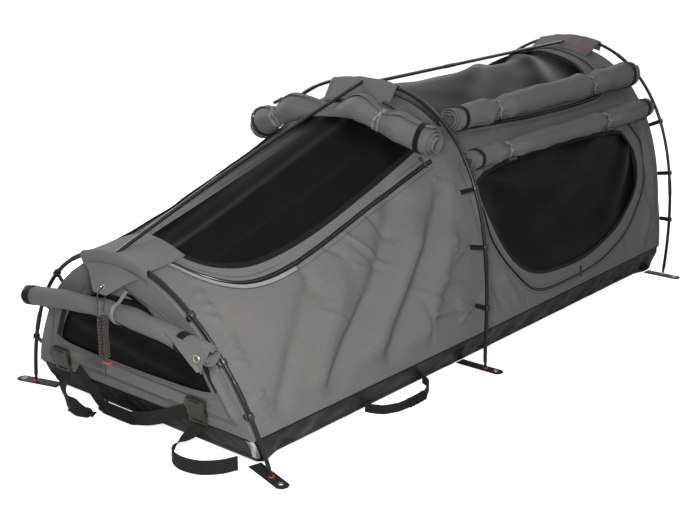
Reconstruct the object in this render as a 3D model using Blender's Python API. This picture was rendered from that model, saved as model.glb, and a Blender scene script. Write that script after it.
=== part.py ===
# Single swag bedroll, pitched: a canvas bedroll on a coated base tub, held up by
# three hoops and two ridge poles. Metres, +Z up, +Y from the foot end to the head
# end, +X to the side with the open door. The origin is the centre of the base's
# underside.

import math

import bmesh
import bpy
import numpy as np
from mathutils import Matrix, Vector

# Fits
TOUCH_GAP = 0.0003
CUT_OVERRUN = 0.020

# Cloth
CANVAS = 0.0015
BASE_CLOTH = 0.0018
MESH = 0.0008
WEBBING = 0.0016

# Base tub and mattress
BASE_LENGTH = 2.100
BASE_WIDTH = 0.820
BASE_EDGE_TURN = 0.024
BASE_CORNER = 0.014
BASE_WAIST = 0.018
BASE_WAIST_FROM_END = 0.160
# The floor's turn up into the walls: outward and upward shares of the turn
BASE_EDGE_SHARES = ((0.0, 0.0), (0.45, 0.08), (0.80, 0.35), (1.0, 1.0))
MATTRESS_THICKNESS = 0.060
MATTRESS_CROWN = 0.006
MATTRESS_CLEARANCE = 0.012

# Poles
POLE_DIAMETER = 0.011
POLE_TIP_DIAMETER = 0.008
POLE_TIP_LENGTH = 0.022
HOOP_SPAN = 2.100
MID_HOOP_SPACING = 0.906
FOOT_HOOP_SETBACK = 0.020
FOOT_RIDGE_BOW = 0.012
RIDGE_HOOP_GAP = 0.0005
RIDGE_HOLE_EASE = 0.0006
RIDGE_POINTS = 7
LEG_POINTS = 14

FOOT_HOOP_WIDTH = 0.933
FOOT_HOOP_HEIGHT = 0.481
FOOT_LEG_DRAW_IN = 0.077
FOOT_LEG_RISE = 0.346
FOOT_CROWN_HALF = 0.173
FOOT_LEAN_SHARE = -0.127
FOOT_SEAM_HEIGHT = 0.090
FOOT_SEAM_INSET = 0.024
FOOT_SIDE_INSET = 0.027
FOOT_CROWN_INSET = 0.016

MID_HOOP_WIDTH = 0.947
MID_HOOP_HEIGHT = 0.807
MID_LEG_DRAW_IN = 0.025
MID_LEG_RISE = 0.114
MID_CROWN_HALF = 0.561
MID_LEAN_SHARE = 0.015
MID_SEAM_HEIGHT = 0.096
MID_SEAM_INSET = 0.030
MID_SIDE_INSET = 0.052
MID_CROWN_INSET = 0.030

HEAD_HOOP_WIDTH = 0.927
HEAD_HOOP_HEIGHT = 0.839
HEAD_LEG_DRAW_IN = -0.049
HEAD_LEG_RISE = 0.679
HEAD_CROWN_HALF = 0.215
HEAD_LEAN_SHARE = 0.049
HEAD_SEAM_HEIGHT = 0.106
HEAD_SEAM_INSET = 0.030
HEAD_SIDE_INSET = 0.046
HEAD_CROWN_INSET = 0.028

# Where along the arch, seam to ridge, the canvas reaches each inset
INSET_STATION_SHARES = (0.0, 0.18, 0.62, 1.0)
SECTION_SAMPLES = 401
WALL_COLUMNS = 10
WALL_ROWS = 14

# Openings: distances along the bedroll are from the foot hoop
TOP_OPENING_START = 0.045
TOP_OPENING_END = 0.850
TOP_OPENING_HALF_WIDTH = 0.258
SKYLIGHT_START = 0.955
SKYLIGHT_END = 1.925
SKYLIGHT_HALF_WIDTH = 0.245
DOOR_START = 1.000
DOOR_END = 1.965
DOOR_SILL = 0.190
DOOR_HEAD = 0.565
FOOT_WINDOW_SILL = 0.166
FOOT_WINDOW_HEAD = 0.372
FOOT_WINDOW_HALF_WIDTH = 0.300
MESH_LAP = 0.014
MESH_SEAT = 0.0004
TOP_MESH_ROWS = (6, 22)
SKYLIGHT_ROWS = (8, 20)
DOOR_MESH_ROWS = (0, 9)
TOP_MESH_SAG = 0.006
SKYLIGHT_SAG = 0.010
DOOR_MESH_FOLD = 0.010

# Half outlines as shares of half width and length, edge points chosen by hand
TOP_OPENING_SHARES = (
    (0.20, 0.0), (0.46, 0.012), (0.69, 0.055), (0.86, 0.140), (0.94, 0.240),
    (0.99, 0.420), (1.0, 0.600), (1.0, 0.975), (0.97, 1.0))
SKYLIGHT_SHARES = (
    (0.95, 0.0), (1.0, 0.020), (1.0, 0.860), (0.95, 0.930), (0.80, 0.975), (0.58, 1.0))
# Door outline as shares of its length and height, from the head corner down
DOOR_SHARES = (
    (0.0, 1.0), (0.005, 0.73), (0.075, 0.39), (0.17, 0.14), (0.28, 0.025), (0.42, 0.0),
    (0.56, 0.0), (0.70, 0.06), (0.82, 0.15), (0.905, 0.275), (0.965, 0.42), (0.99, 0.56),
    (1.0, 0.73), (0.97, 0.88), (0.925, 1.0))
FOOT_WINDOW_SHARES = (
    (1.0, 0.0), (0.95, 0.19), (0.86, 0.41), (0.74, 0.60), (0.58, 0.77), (0.38, 0.90), (0.18, 0.975))

# Sleeves over the hoop crowns
SLEEVE_HALF_WIDTH = 0.125
MID_SLEEVE_FOOT_REACH = 0.034
MID_SLEEVE_HEAD_REACH = 0.048
END_SLEEVE_REACH = 0.060
SLEEVE_FRONT_DROP = 0.026
SLEEVE_EASE = 0.0016
SLEEVE_SEAT = 0.0009
SLEEVE_POINTS = 12

# Rolled covers
ROLL_TURNS = 2.0
ROLL_TURN_POINTS = 10
ROLL_CORE_SHARE = 0.50
ROLL_BAND_SHARE = 0.10
# Along the arch, and along the bedroll between the foot and middle hoops
TOP_ROLL_STATION_SHARES = (
    (0.632, 0.930), (0.675, 0.905), (0.732, 0.882), (0.780, 0.870), (0.808, 0.866),
    (0.836, 0.862), (0.885, 0.855), (0.945, 0.850), (1.0, 0.842), (1.06, 0.828),
    (1.115, 0.815), (1.164, 0.806), (1.192, 0.806), (1.215, 0.808), (1.255, 0.817),
    (1.290, 0.828), (1.325, 0.842))
TOP_ROLL_TIES = (4, 12)
SIDE_ROLL_PINCH_SHARES = (-1, -0.5, 0, 0.5, 1)
FOOT_ROLL_STATIONS = 9
ROLL_REST_GAP = 0.0006
# How far the faceted canvas lies inside its smooth section, beside the head hoops
FACET_DIP = 0.0011
TIE_PINCH_SHARE = 0.76
TIE_PINCH_REACH = 0.070
TOP_ROLL_RADIUS = 0.043
TOP_ROLL_FLAT_HALF = 0.0095
TOP_ROLL_FLAT_REACH = 0.110
SKYLIGHT_ROLL_START = 0.962
SKYLIGHT_ROLL_END = 2.052
SKYLIGHT_ROLL_RADIUS_START = 0.040
SKYLIGHT_ROLL_RADIUS_END = 0.047
SKYLIGHT_ROLL_SHARE = 0.690
SKYLIGHT_TIES = (1.197, 1.765)
DOOR_ROLL_START = 0.955
DOOR_ROLL_END = 2.048
DOOR_ROLL_RADIUS_START = 0.030
DOOR_ROLL_RADIUS_END = 0.037
DOOR_ROLL_SHARE = 0.545
DOOR_TIES = (1.157, 1.755)
FOOT_ROLL_HALF_LENGTH = 0.350
FOOT_ROLL_RADIUS = 0.027
FOOT_ROLL_HEIGHT = 0.335
FOOT_ROLL_DROOP = 0.030
FOOT_ROLL_TURNS = 1.10
FOOT_ROLL_CORE_SHARE = 0.84
FOOT_ROLL_BAND_SHARE = 0.07
FOOT_ROLL_TIE_SHARE = 0.88
FOOT_ROLL_TIE_REACH = 0.140
ROLL_STRAP_WIDTH = 0.010
ROLL_STRAP_TOP = 0.392
ROLL_STRAP_ACROSS = 0.021

# Toggles on the roll ties
TOGGLE_LENGTH = 0.042
TOGGLE_DIAMETER = 0.009
TOGGLE_SEAT = 0.0006
TOGGLE_NECK_LENGTH = 0.0090
TOGGLE_NECK_DIAMETER = 0.003
TOP_TOGGLE_ANGLE_DEG = -36.0
SIDE_TOGGLE_ANGLE_DEG = -72.0
# Along the bar, as shares of its length, and its thickness there
TOGGLE_PROFILE_SHARES = ((-0.5, 0.35), (-0.42, 0.72), (-0.2, 1.0), (0.2, 1.0), (0.42, 0.72),
                         (0.5, 0.35))

# Hook clips between canvas and hoops, places as shares along each half hoop
FOOT_CLIP_SHARES = (0.163, 0.332, 0.519)
MID_CLIP_SHARES = (0.264, 0.430, 0.580)
HEAD_CLIP_SHARES = (0.114, 0.224, 0.375, 0.571)
CLIP_WIDTH = 0.014
CLIP_RING_WALL = 0.0030
CLIP_EASE = 0.0012
CLIP_MOUTH = 0.0065
CLIP_CANVAS_GAP = 0.0016
CLIP_SHANK = 0.0028
CLIP_ARC_POINTS = 9

# Peg tabs on the ground
PEG_TAB_THICKNESS = 0.0025
PEG_TAB_WIDTH = 0.036
PEG_TAB_END = 0.530
PEG_TAB_LAP_SHARE = 0.5
PEG_HOLE_DIAMETER = 0.010
PEG_HOLE_INSET = 0.022
TAB_HOLE_POINTS = 12
TAB_HOLE_EASE = 0.0011
FOOT_TAB_TURN_DEG = 16.0

# Foot awning, guy hank and its runner
AWNING_TOP_WIDTH = 0.216
AWNING_FOOT_WIDTH = 0.046
AWNING_LENGTH = 0.078
AWNING_LIFT_DEG = 37.0
AWNING_STANDOFF = 0.0040
EYELET_DIAMETER = 0.011
EYELET_INSET = 0.017
CORD_DIAMETER = 0.0030
HANK_LOOPS = 5
HANK_LOOP_POINTS = 24
HANK_HEIGHT = 0.118
HANK_WIDTH = 0.025
HANK_STEP = 0.0038
HANK_WAIST_SHARE = 0.72
HANK_TOP = 0.337
HANK_BACK = -0.0990
# The guy's free stretches, chosen by hand: across, from the foot hoop, height
GUY_TAIL_ROUTE = (
    (-0.0172, -0.0972, 0.168), (-0.0157, -0.0972, 0.183), (-0.0142, -0.0972, 0.198),
    (-0.0127, -0.0972, 0.213), (-0.0112, -0.0972, 0.228), (-0.0092, -0.0972, 0.250))
GUY_RISE_ROUTE = (
    (-0.0073, -0.1196, 0.298), (-0.0052, -0.1206, 0.316), (-0.0038, -0.1206, 0.334),
    (-0.0030, -0.1196, 0.352), (-0.0036, -0.1182, 0.368), (-0.0042, -0.1175, 0.382),
    (-0.0040, -0.1156, 0.3913), (-0.0030, -0.1094, 0.4006), (-0.0020, -0.1067, 0.4044),
    (-0.0010, -0.1041, 0.4062), (0.0000, -0.1008, 0.4062), (0.0008, -0.0982, 0.4038),
    (0.0016, -0.0970, 0.3990), (0.0022, -0.0970, 0.3900), (0.0026, -0.0990, 0.3790),
    (0.0030, -0.1018, 0.3670), (0.0028, -0.1040, 0.3560), (0.0024, -0.1052, 0.3470))
RUNNER_SPAN = 0.034
RUNNER_DEPTH = 0.013
RUNNER_THICKNESS = 0.005
RUNNER_LIFT = 0.011
RUNNER_BORE_SHARE = 0.45
RUNNER_EASE = 0.0005

# Foot end buckles and webbing
STRAP_WIDTH = 0.038
LEFT_BUCKLE_ACROSS = -0.300
RIGHT_BUCKLE_ACROSS = 0.238
STRAP_POINTS = 20
# Strap routes, chosen by hand: across, from the foot hoop, height, then how far the
# webbing has turned on edge (0 to 1) and lain down flat (0 to 1)
LEFT_STRAP_ROUTE = (
    (-0.272, -0.043, 0.046, 0.5, 0.0), (-0.238, -0.062, 0.026, 1.0, 0.0),
    (-0.205, -0.068, 0.0200, 1.0, 0.1), (-0.180, -0.062, 0.0080, 0.6, 0.9),
    (-0.160, -0.054, 0.0013, 0.5, 1.0), (-0.145, -0.044, 0.0013, 0.5, 1.0))
RIGHT_STRAP_ROUTE = (
    (0.214, -0.055, 0.044, 0.5, 0.0), (0.212, -0.082, 0.028, 1.0, 0.0),
    (0.232, -0.103, 0.0205, 1.0, 0.0), (0.275, -0.113, 0.0198, 1.0, 0.0),
    (0.325, -0.101, 0.0198, 1.0, 0.0), (0.361, -0.065, 0.0198, 1.0, 0.0),
    (0.378, -0.025, 0.0198, 1.0, 0.0))
BUCKLE_TOP = 0.150
BUCKLE_WIDTH = 0.062
BUCKLE_DEPTH = 0.013
BUCKLE_WALL = 0.0025
SOCKET_LENGTH = 0.046
PRONG_TONGUE_LENGTH = 0.030
PRONG_ARM_WIDTH = 0.008
PRONG_BASE_LENGTH = 0.020
BUCKLE_CLEARANCE = 0.0006
BUCKLE_STANDOFF = 0.0006
GRIP_LENGTH = 0.112
GRIP_RADIUS = 0.016
FOOT_HANDLE_AXIS_HEIGHT = 0.121
# Handle route: across, further out than the end panel, height
FOOT_HANDLE_ROUTE = (
    (-0.243, 0.000, 0.103), (-0.205, -0.003, 0.070), (-0.168, -0.008, 0.038),
    (-0.138, -0.012, 0.0190), (-0.130, -0.014, 0.0168), (-0.098, -0.014, 0.0165),
    (-0.060, -0.014, 0.0165), (-0.022, -0.014, 0.0168), (-0.014, -0.013, 0.0195),
    (0.040, -0.009, 0.036), (0.095, -0.005, 0.058), (0.150, -0.002, 0.083),
    (0.192, 0.000, 0.103))

# Near side carry handle, lying on the ground
SIDE_HANDLE_START = 0.440
SIDE_HANDLE_END = 0.700
SIDE_HANDLE_REACH = 0.075
SIDE_GRIP_RADIUS = 0.013
SIDE_STRAP_WIDTH = 0.026
SIDE_HANDLE_ROOT = 0.0022
# Handle places as shares of its half span and its reach
SIDE_HANDLE_SHARES = (
    (-1.0, 0.0), (-0.96, 0.30), (-0.84, 0.66), (-0.58, 0.90), (-0.54, 0.93), (-0.1, 1.0),
    (0.34, 0.96), (0.38, 0.92), (0.70, 0.66), (0.90, 0.34), (1.0, 0.0))

# Zip sliders
SLIDER_LENGTH = 0.012
SLIDER_WIDTH = 0.009
SLIDER_HEIGHT = 0.004
PULL_LENGTH = 0.030
PULL_WIDTH = 0.005
PULL_THICKNESS = 0.0025
DOOR_ZIP_GAP = 0.040
DOOR_SLIDER_FROM_FOOT = 1.518
DOOR_SLIDER_SHARE = 0.062
TOP_SLIDER_SHARE = 0.627
TOP_SLIDER_RUN_SHARE = 0.905
SLIDER_SEAT = 0.0008

SKYLIGHT_ROLL = (SKYLIGHT_ROLL_SHARE, SKYLIGHT_ROLL_START, SKYLIGHT_ROLL_END,
                 (SKYLIGHT_ROLL_RADIUS_START, SKYLIGHT_ROLL_RADIUS_END), SKYLIGHT_TIES)
DOOR_ROLL = (DOOR_ROLL_SHARE, DOOR_ROLL_START, DOOR_ROLL_END,
             (DOOR_ROLL_RADIUS_START, DOOR_ROLL_RADIUS_END), DOOR_TIES)
POLE_RADIUS = POLE_DIAMETER / 2
FOOT_STATION = -BASE_LENGTH / 2 - FOOT_HOOP_SETBACK
MID_STATION = FOOT_STATION + MID_HOOP_SPACING
HEAD_STATION = FOOT_STATION + HOOP_SPAN


class Hoop:
    """A half hoop in a leaning plane, and the canvas section drawn inside it."""

    def __init__(self, name, station, width, height, draw_in, rise, crown_half, lean,
                 seam_height, seam_inset, side_inset, crown_inset, clip_shares):
        self.name = name
        self.station = station
        self.lean = lean
        self.height = height
        self.clip_shares = clip_shares
        half = width / 2
        self.cage = np.array(
            [(half, 0), (half - draw_in, rise), (crown_half, height), (0, height)])
        self.insets = (seam_inset, side_inset, side_inset, crown_inset)
        samples = np.linspace(0, 1, SECTION_SAMPLES)
        curve = np.array([self.at(t) for t in samples])
        first = int(np.argmax(curve[:, 1] >= seam_height))
        steps = np.hypot(*np.diff(curve[first:], axis=0).T)
        shares = np.concatenate(([0], np.cumsum(steps)))
        self.share_table = shares / shares[-1]
        self.t_table = samples[first:]

    def at(self, t):
        """Across and height of the pole's centre line, foot of the leg to crown."""
        a, b, c, d = self.cage
        return ((1 - t) ** 3 * a + 3 * (1 - t) ** 2 * t * b
                + 3 * (1 - t) * t ** 2 * c + t ** 3 * d)

    def slope(self, t):
        a, b, c, d = self.cage
        way = (1 - t) ** 2 * (b - a) + 2 * (1 - t) * t * (c - b) + t ** 2 * (d - c)
        return way / np.hypot(*way)

    def outward(self, t):
        way = self.slope(t)
        return np.array([way[1], -way[0]])

    def place(self, across, height, forward=0.0):
        """A point of the leaning plane as a world position."""
        return np.array([across, self.station + self.lean * height + forward, height])

    def canvas(self, share, depth=0.0):
        """The canvas under the hoop: share 0 at the base seam, 1 at the ridge."""
        t = np.interp(share, self.share_table, self.t_table)
        inset = np.interp(share, INSET_STATION_SHARES, self.insets)
        across, height = self.at(t) - (inset + depth) * self.outward(t)
        return self.place(max(across, 0.0), height)


foot = Hoop("foot", FOOT_STATION, FOOT_HOOP_WIDTH, FOOT_HOOP_HEIGHT, FOOT_LEG_DRAW_IN,
            FOOT_LEG_RISE, FOOT_CROWN_HALF, FOOT_LEAN_SHARE, FOOT_SEAM_HEIGHT,
            FOOT_SEAM_INSET, FOOT_SIDE_INSET, FOOT_CROWN_INSET, FOOT_CLIP_SHARES)
mid = Hoop("mid", MID_STATION, MID_HOOP_WIDTH, MID_HOOP_HEIGHT, MID_LEG_DRAW_IN,
           MID_LEG_RISE, MID_CROWN_HALF, MID_LEAN_SHARE, MID_SEAM_HEIGHT,
           MID_SEAM_INSET, MID_SIDE_INSET, MID_CROWN_INSET, MID_CLIP_SHARES)
head = Hoop("head", HEAD_STATION, HEAD_HOOP_WIDTH, HEAD_HOOP_HEIGHT, HEAD_LEG_DRAW_IN,
            HEAD_LEG_RISE, HEAD_CROWN_HALF, HEAD_LEAN_SHARE, HEAD_SEAM_HEIGHT,
            HEAD_SEAM_INSET, HEAD_SIDE_INSET, HEAD_CROWN_INSET, HEAD_CLIP_SHARES)


def clear_scene():
    for old in list(bpy.data.objects):
        bpy.data.objects.remove(old, do_unlink=True)


def new_collection(name):
    made = bpy.data.collections.new(name)
    bpy.context.scene.collection.children.link(made)
    return made


def finish(name, color, roughness, metallic=0.0):
    made = bpy.data.materials.new(name)
    made.use_nodes = True
    shader = made.node_tree.nodes["Principled BSDF"]
    shader.inputs["Base Color"].default_value = (*color, 1)
    shader.inputs["Roughness"].default_value = roughness
    shader.inputs["Metallic"].default_value = metallic
    made.diffuse_color = (*color, 1)
    return made


clear_scene()
swag = new_collection("swag_bedroll")
cutters = new_collection("cutters")
whole = bpy.data.objects.new("whole_swag", None)
swag.objects.link(whole)

canvas_cloth = finish("canvas_cloth", (0.125, 0.125, 0.120), 0.85)
base_cloth = finish("base_cloth", (0.018, 0.018, 0.018), 0.50)
insect_mesh = finish("insect_mesh", (0.010, 0.010, 0.011), 0.80)
foam = finish("foam", (0.080, 0.080, 0.085), 0.90)
pole_black = finish("pole_black", (0.012, 0.012, 0.012), 0.25, 0.6)
moulded_black = finish("moulded_black", (0.010, 0.010, 0.010), 0.40)
webbing_black = finish("webbing_black", (0.020, 0.020, 0.019), 0.75)
guy_cord = finish("guy_cord", (0.060, 0.020, 0.018), 0.80)
runner_red = finish("runner_red", (0.600, 0.040, 0.020), 0.40)


def add_object(name, mesh, material):
    mesh.materials.clear()
    mesh.materials.append(material)
    piece = bpy.data.objects.new(name, mesh)
    swag.objects.link(piece)
    piece.parent = whole
    return piece


def mesh_piece(name, bm, material, smooth=False):
    bmesh.ops.recalc_face_normals(bm, faces=bm.faces[:])
    mesh = bpy.data.meshes.new(name)
    bm.to_mesh(mesh)
    bm.free()
    if smooth:
        mesh.shade_smooth()
        mesh.set_sharp_from_angle(angle=math.radians(40))
    return add_object(name, mesh, material)


def as_cutter(piece):
    """Moves a piece to the cutters, where it shapes others and isn't built."""
    swag.objects.unlink(piece)
    cutters.objects.link(piece)
    piece.hide_render = True
    piece.display_type = "WIRE"
    return piece


def cut(piece, cutter, operation="DIFFERENCE"):
    shaping = piece.modifiers.new("cut_" + cutter.name, "BOOLEAN")
    shaping.operation = operation
    shaping.solver = "EXACT"
    shaping.object = cutter


def hinge_at(piece, pivot):
    """Puts a moving piece's origin on its joint's axis."""
    pivot = Vector(pivot)
    piece.data.transform(Matrix.Translation(-pivot))
    piece.location = pivot


def loft(name, rings, material, smooth=False):
    """A closed solid through rings of equally many points."""
    bm = bmesh.new()
    rows = [[bm.verts.new(tuple(point)) for point in ring] for ring in rings]
    count = len(rows[0])
    walls = []
    for lower, upper in zip(rows, rows[1:]):
        for i in range(count):
            j = (i + 1) % count
            walls.append(bm.faces.new((lower[i], lower[j], upper[j], upper[i])))
    # Thin twisted cloth needs its face and back split along the same diagonals
    bmesh.ops.triangulate(bm, faces=walls, quad_method="BEAUTY")
    bm.faces.new(rows[0][::-1])
    bm.faces.new(rows[-1])
    return mesh_piece(name, bm, material, smooth)


def sheet(name, columns, rows, surface, material):
    """Cloth from a grid: surface(run, arch, back) places its face and its back."""
    bm = bmesh.new()
    bmesh.ops.create_grid(bm, x_segments=columns, y_segments=rows, size=1)
    faces = bm.faces[:]
    places = {v: ((v.co.x + 1) / 2, (v.co.y + 1) / 2) for v in bm.verts}
    backs = bmesh.ops.extrude_face_region(bm, geom=faces)["geom"]
    backs = {v for v in backs if isinstance(v, bmesh.types.BMVert)}
    for v in bm.verts:
        is_back = v in backs
        run, arch = places[v] if v in places else ((v.co.x + 1) / 2, (v.co.y + 1) / 2)
        v.co = Vector(surface(run, arch, is_back))
    return mesh_piece(name, bm, material, smooth=True)


def curve_mesh(name, curve, material):
    """A curve object's surface as a welded mesh piece."""
    guide = bpy.data.objects.new(name + "_curve", curve)
    swag.objects.link(guide)
    bpy.context.view_layer.update()
    graph = bpy.context.evaluated_depsgraph_get()
    mesh = bpy.data.meshes.new_from_object(guide.evaluated_get(graph))
    bpy.data.objects.remove(guide, do_unlink=True)
    bm = bmesh.new()
    bm.from_mesh(mesh)
    bpy.data.meshes.remove(mesh)
    bmesh.ops.remove_doubles(bm, verts=bm.verts[:], dist=TOUCH_GAP / 100)
    return mesh_piece(name, bm, material)


def tube(name, points, diameter, material, sides_level=2, share=None):
    """A round bar or cord along points; share thins it point by point."""
    curve = bpy.data.curves.new(name, "CURVE")
    curve.dimensions = "3D"
    curve.bevel_depth = diameter / 2
    curve.bevel_resolution = sides_level
    curve.use_fill_caps = True
    spline = curve.splines.new("POLY")
    spline.points.add(len(points) - 1)
    for i, point in enumerate(points):
        spline.points[i].co = (*point, 1)
        spline.points[i].radius = share[i] if share else 1
    piece = bpy.data.objects.new(name, curve)
    curve.materials.append(material)
    swag.objects.link(piece)
    piece.parent = whole
    return piece


def plate(name, outlines, thickness, frame, material):
    """A flat piece from an outline and its holes, placed by a frame matrix."""
    curve = bpy.data.curves.new(name, "CURVE")
    curve.dimensions = "2D"
    curve.fill_mode = "BOTH"
    curve.extrude = thickness / 2
    for outline in outlines:
        spline = curve.splines.new("POLY")
        spline.points.add(len(outline) - 1)
        for i, (x, y) in enumerate(outline):
            spline.points[i].co = (x, y, 0, 1)
        spline.use_cyclic_u = True
    piece = curve_mesh(name, curve, material)
    piece.data.transform(frame)
    return piece


def frame_of(origin, across, up):
    """A placing matrix whose X is across and whose Y is up."""
    across = Vector(across).normalized()
    facing = across.cross(Vector(up)).normalized()
    up = facing.cross(across)
    frame = Matrix((across, up, facing)).transposed().to_4x4()
    frame.translation = Vector(origin)
    return frame


def ring_points(centre, radius, count):
    turn = 2 * math.pi / count
    return [(centre[0] + radius * math.cos(i * turn), centre[1] + radius * math.sin(i * turn))
            for i in range(count)]


def smooth_step(share):
    share = min(max(share, 0.0), 1.0)
    return share * share * (3 - 2 * share)


def smooth_path(points, count):
    """Points at even spacing along a smooth curve through hand chosen points."""
    points = np.array(points, dtype=float)
    padded = np.vstack((2 * points[0] - points[1], points, 2 * points[-1] - points[-2]))
    fine = []
    for a, b, c, d in zip(padded, padded[1:], padded[2:], padded[3:]):
        for t in np.linspace(0, 1, 16, endpoint=False):
            fine.append(0.5 * (2 * b + (c - a) * t + (2 * a - 5 * b + 4 * c - d) * t ** 2
                               + (3 * b - a - 3 * c + d) * t ** 3))
    fine = np.array(fine + [points[-1]])
    lengths = np.concatenate(([0], np.cumsum(np.linalg.norm(np.diff(fine, axis=0), axis=1))))
    stops = np.linspace(0, lengths[-1], count)
    return np.stack([np.interp(stops, lengths, fine[:, i]) for i in range(3)], axis=1)


def canvas_point(first, last, run, arch, depth=0.0):
    """The canvas between two hoops: run 0 to 1 along it, arch 0 near seam, 2 far seam."""
    side = 1 if arch <= 1 else -1
    share = arch if arch <= 1 else 2 - arch
    seam_gap = TOUCH_GAP / (last.station - first.station)
    run = seam_gap + run * (1 - 2 * seam_gap)
    point = first.canvas(share, depth) * (1 - run) + last.canvas(share, depth) * run
    point[0] *= side
    return point


def unit(vector):
    return vector / np.linalg.norm(vector)


def canvas_frame(first, last, run, arch):
    """Outward normal of the canvas, and its directions along and over the bedroll."""
    step = 0.01
    over = unit(canvas_point(first, last, run, arch + step)
                - canvas_point(first, last, run, arch - step))
    along = unit(canvas_point(first, last, min(run + step, 1), arch)
                 - canvas_point(first, last, max(run - step, 0), arch))
    normal = unit(np.cross(along, over))
    return (normal if normal[2] > 0 else -normal), along, over


def run_between(first, last, from_foot):
    """The run share of a place given by its distance from the foot hoop."""
    return (FOOT_STATION + from_foot - first.station) / (last.station - first.station)


def make_base_tub():
    """The coated tub: a soft floor turned up into walls, drawn in between its corners."""
    half = BASE_WIDTH / 2
    corner = BASE_CORNER
    rim_lift = TOUCH_GAP + CANVAS * 0.3

    def around(foot_end, middle, head_end, waist):
        """A ring of points from half width, length and height at three stations."""
        side = []
        for a, b in ((foot_end, middle), (head_end, middle)):
            a = np.array(a) + (0, corner if a is foot_end else -corner, 0)
            share = BASE_WAIST_FROM_END / abs(b[1] - a[1])
            side.append((a, a + (b - a) * share - (waist, 0, 0)))
        near = [*side[0], np.array(middle) - (waist, 0, 0), *side[1][::-1]]
        ends = [np.array(head_end) - (corner, 0, 0), np.array(head_end) - (corner, 0, 0)]
        ends[1][0] *= -1
        far = [p * (-1, 1, 1) for p in near[::-1]]
        foot_ends = [np.array(foot_end) - (corner, 0, 0), np.array(foot_end) - (corner, 0, 0)]
        foot_ends[0][0] *= -1
        return near + ends + far + foot_ends

    def rim(inset):
        seams = [hoop.canvas(0) - (inset, 0, rim_lift) for hoop in (foot, mid, head)]
        seams[0][1] += inset
        seams[2][1] -= inset
        return around(*seams, 0)

    def floor_ring(inset, height, waist=BASE_WAIST):
        length = BASE_LENGTH / 2 - inset
        return around((half - inset, -length, height), (half - inset, MID_STATION, height),
                      (half - inset, length, height), waist)

    turn = BASE_EDGE_TURN
    rings = []
    for out_share, up_share in BASE_EDGE_SHARES:
        rings.append(floor_ring(turn * (1 - out_share), turn * up_share))
    rings += [rim(0), rim(BASE_CLOTH)]
    for out_share, up_share in BASE_EDGE_SHARES[::-1]:
        rings.append(floor_ring(turn * (1 - out_share) + BASE_CLOTH,
                                turn * up_share + BASE_CLOTH * (1 - up_share)))
    loft("base_tub", rings, base_cloth)


def make_mattress():
    inset = BASE_WAIST + BASE_CLOTH + MATTRESS_CLEARANCE
    half_length = BASE_LENGTH / 2 - inset
    half_width = BASE_WIDTH / 2 - inset
    bottom = BASE_CLOTH + TOUCH_GAP

    def surface(run, arch, back):
        x = (2 * arch - 1) * half_width
        y = (2 * run - 1) * half_length
        edge = min(1 - abs(2 * arch - 1), 0.12) / 0.12 * min(1 - abs(2 * run - 1), 0.05) / 0.05
        if back:
            tuck = BASE_EDGE_TURN * (1 - edge)
            return (x * (1 - tuck / half_width), y * (1 - tuck / half_length), bottom)
        return (x, y, bottom + MATTRESS_THICKNESS - MATTRESS_CROWN * (1 - edge) * 3)

    sheet("mattress", 16, 10, surface, foam)


def make_wall(name, first, last, far):
    """One side's canvas between two hoops, seam to ridge."""
    def surface(run, arch, back):
        depth = CANVAS if back else 0.0
        point = canvas_point(first, last, run, 2 - arch if far else arch, depth)
        if arch == 1:
            point[0] = -TOUCH_GAP if far else TOUCH_GAP
        return point

    return sheet(name, WALL_COLUMNS, WALL_ROWS, surface, canvas_cloth)


def half_outline(shares, half_width, start, length):
    """A mirrored outline in plan from a half outline of shares."""
    side = [(half_width * x, start + length * y) for x, y in shares]
    return side + [(-x, y) for x, y in side[::-1]]


def plan_cutter(name, outline, low, high):
    frame = Matrix.Translation((0, 0, (low + high) / 2))
    return as_cutter(plate(name, [outline], high - low, frame, canvas_cloth))


def grown(outline, margin):
    """An outline moved outward by a margin."""
    points = np.array(outline)
    centre_area = 0.0
    moved = []
    count = len(points)
    for i in range(count):
        a, b = points[i], points[(i + 1) % count]
        centre_area += a[0] * b[1] - b[0] * a[1]
    turn = 1 if centre_area > 0 else -1
    for i in range(count):
        before = points[i] - points[i - 1]
        after = points[(i + 1) % count] - points[i]
        before = before / np.hypot(*before)
        after = after / np.hypot(*after)
        bisector = np.array([before[1] + after[1], -before[0] - after[0]]) * turn
        stretch = np.dot(bisector, bisector) / 2
        moved.append(tuple(points[i] + bisector * margin / max(stretch, 0.5)))
    return moved


def side_cutter(name, outline, far=False):
    """A prism across the bedroll from an outline of lengths and heights."""
    inner = 0.10
    frame = frame_of(((BASE_WIDTH / 2 + inner) / 2 + inner / 2, 0, 0), (0, 1, 0), (0, 0, 1))
    return as_cutter(plate(name, [outline], BASE_WIDTH / 2 + inner, frame, canvas_cloth))


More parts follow.
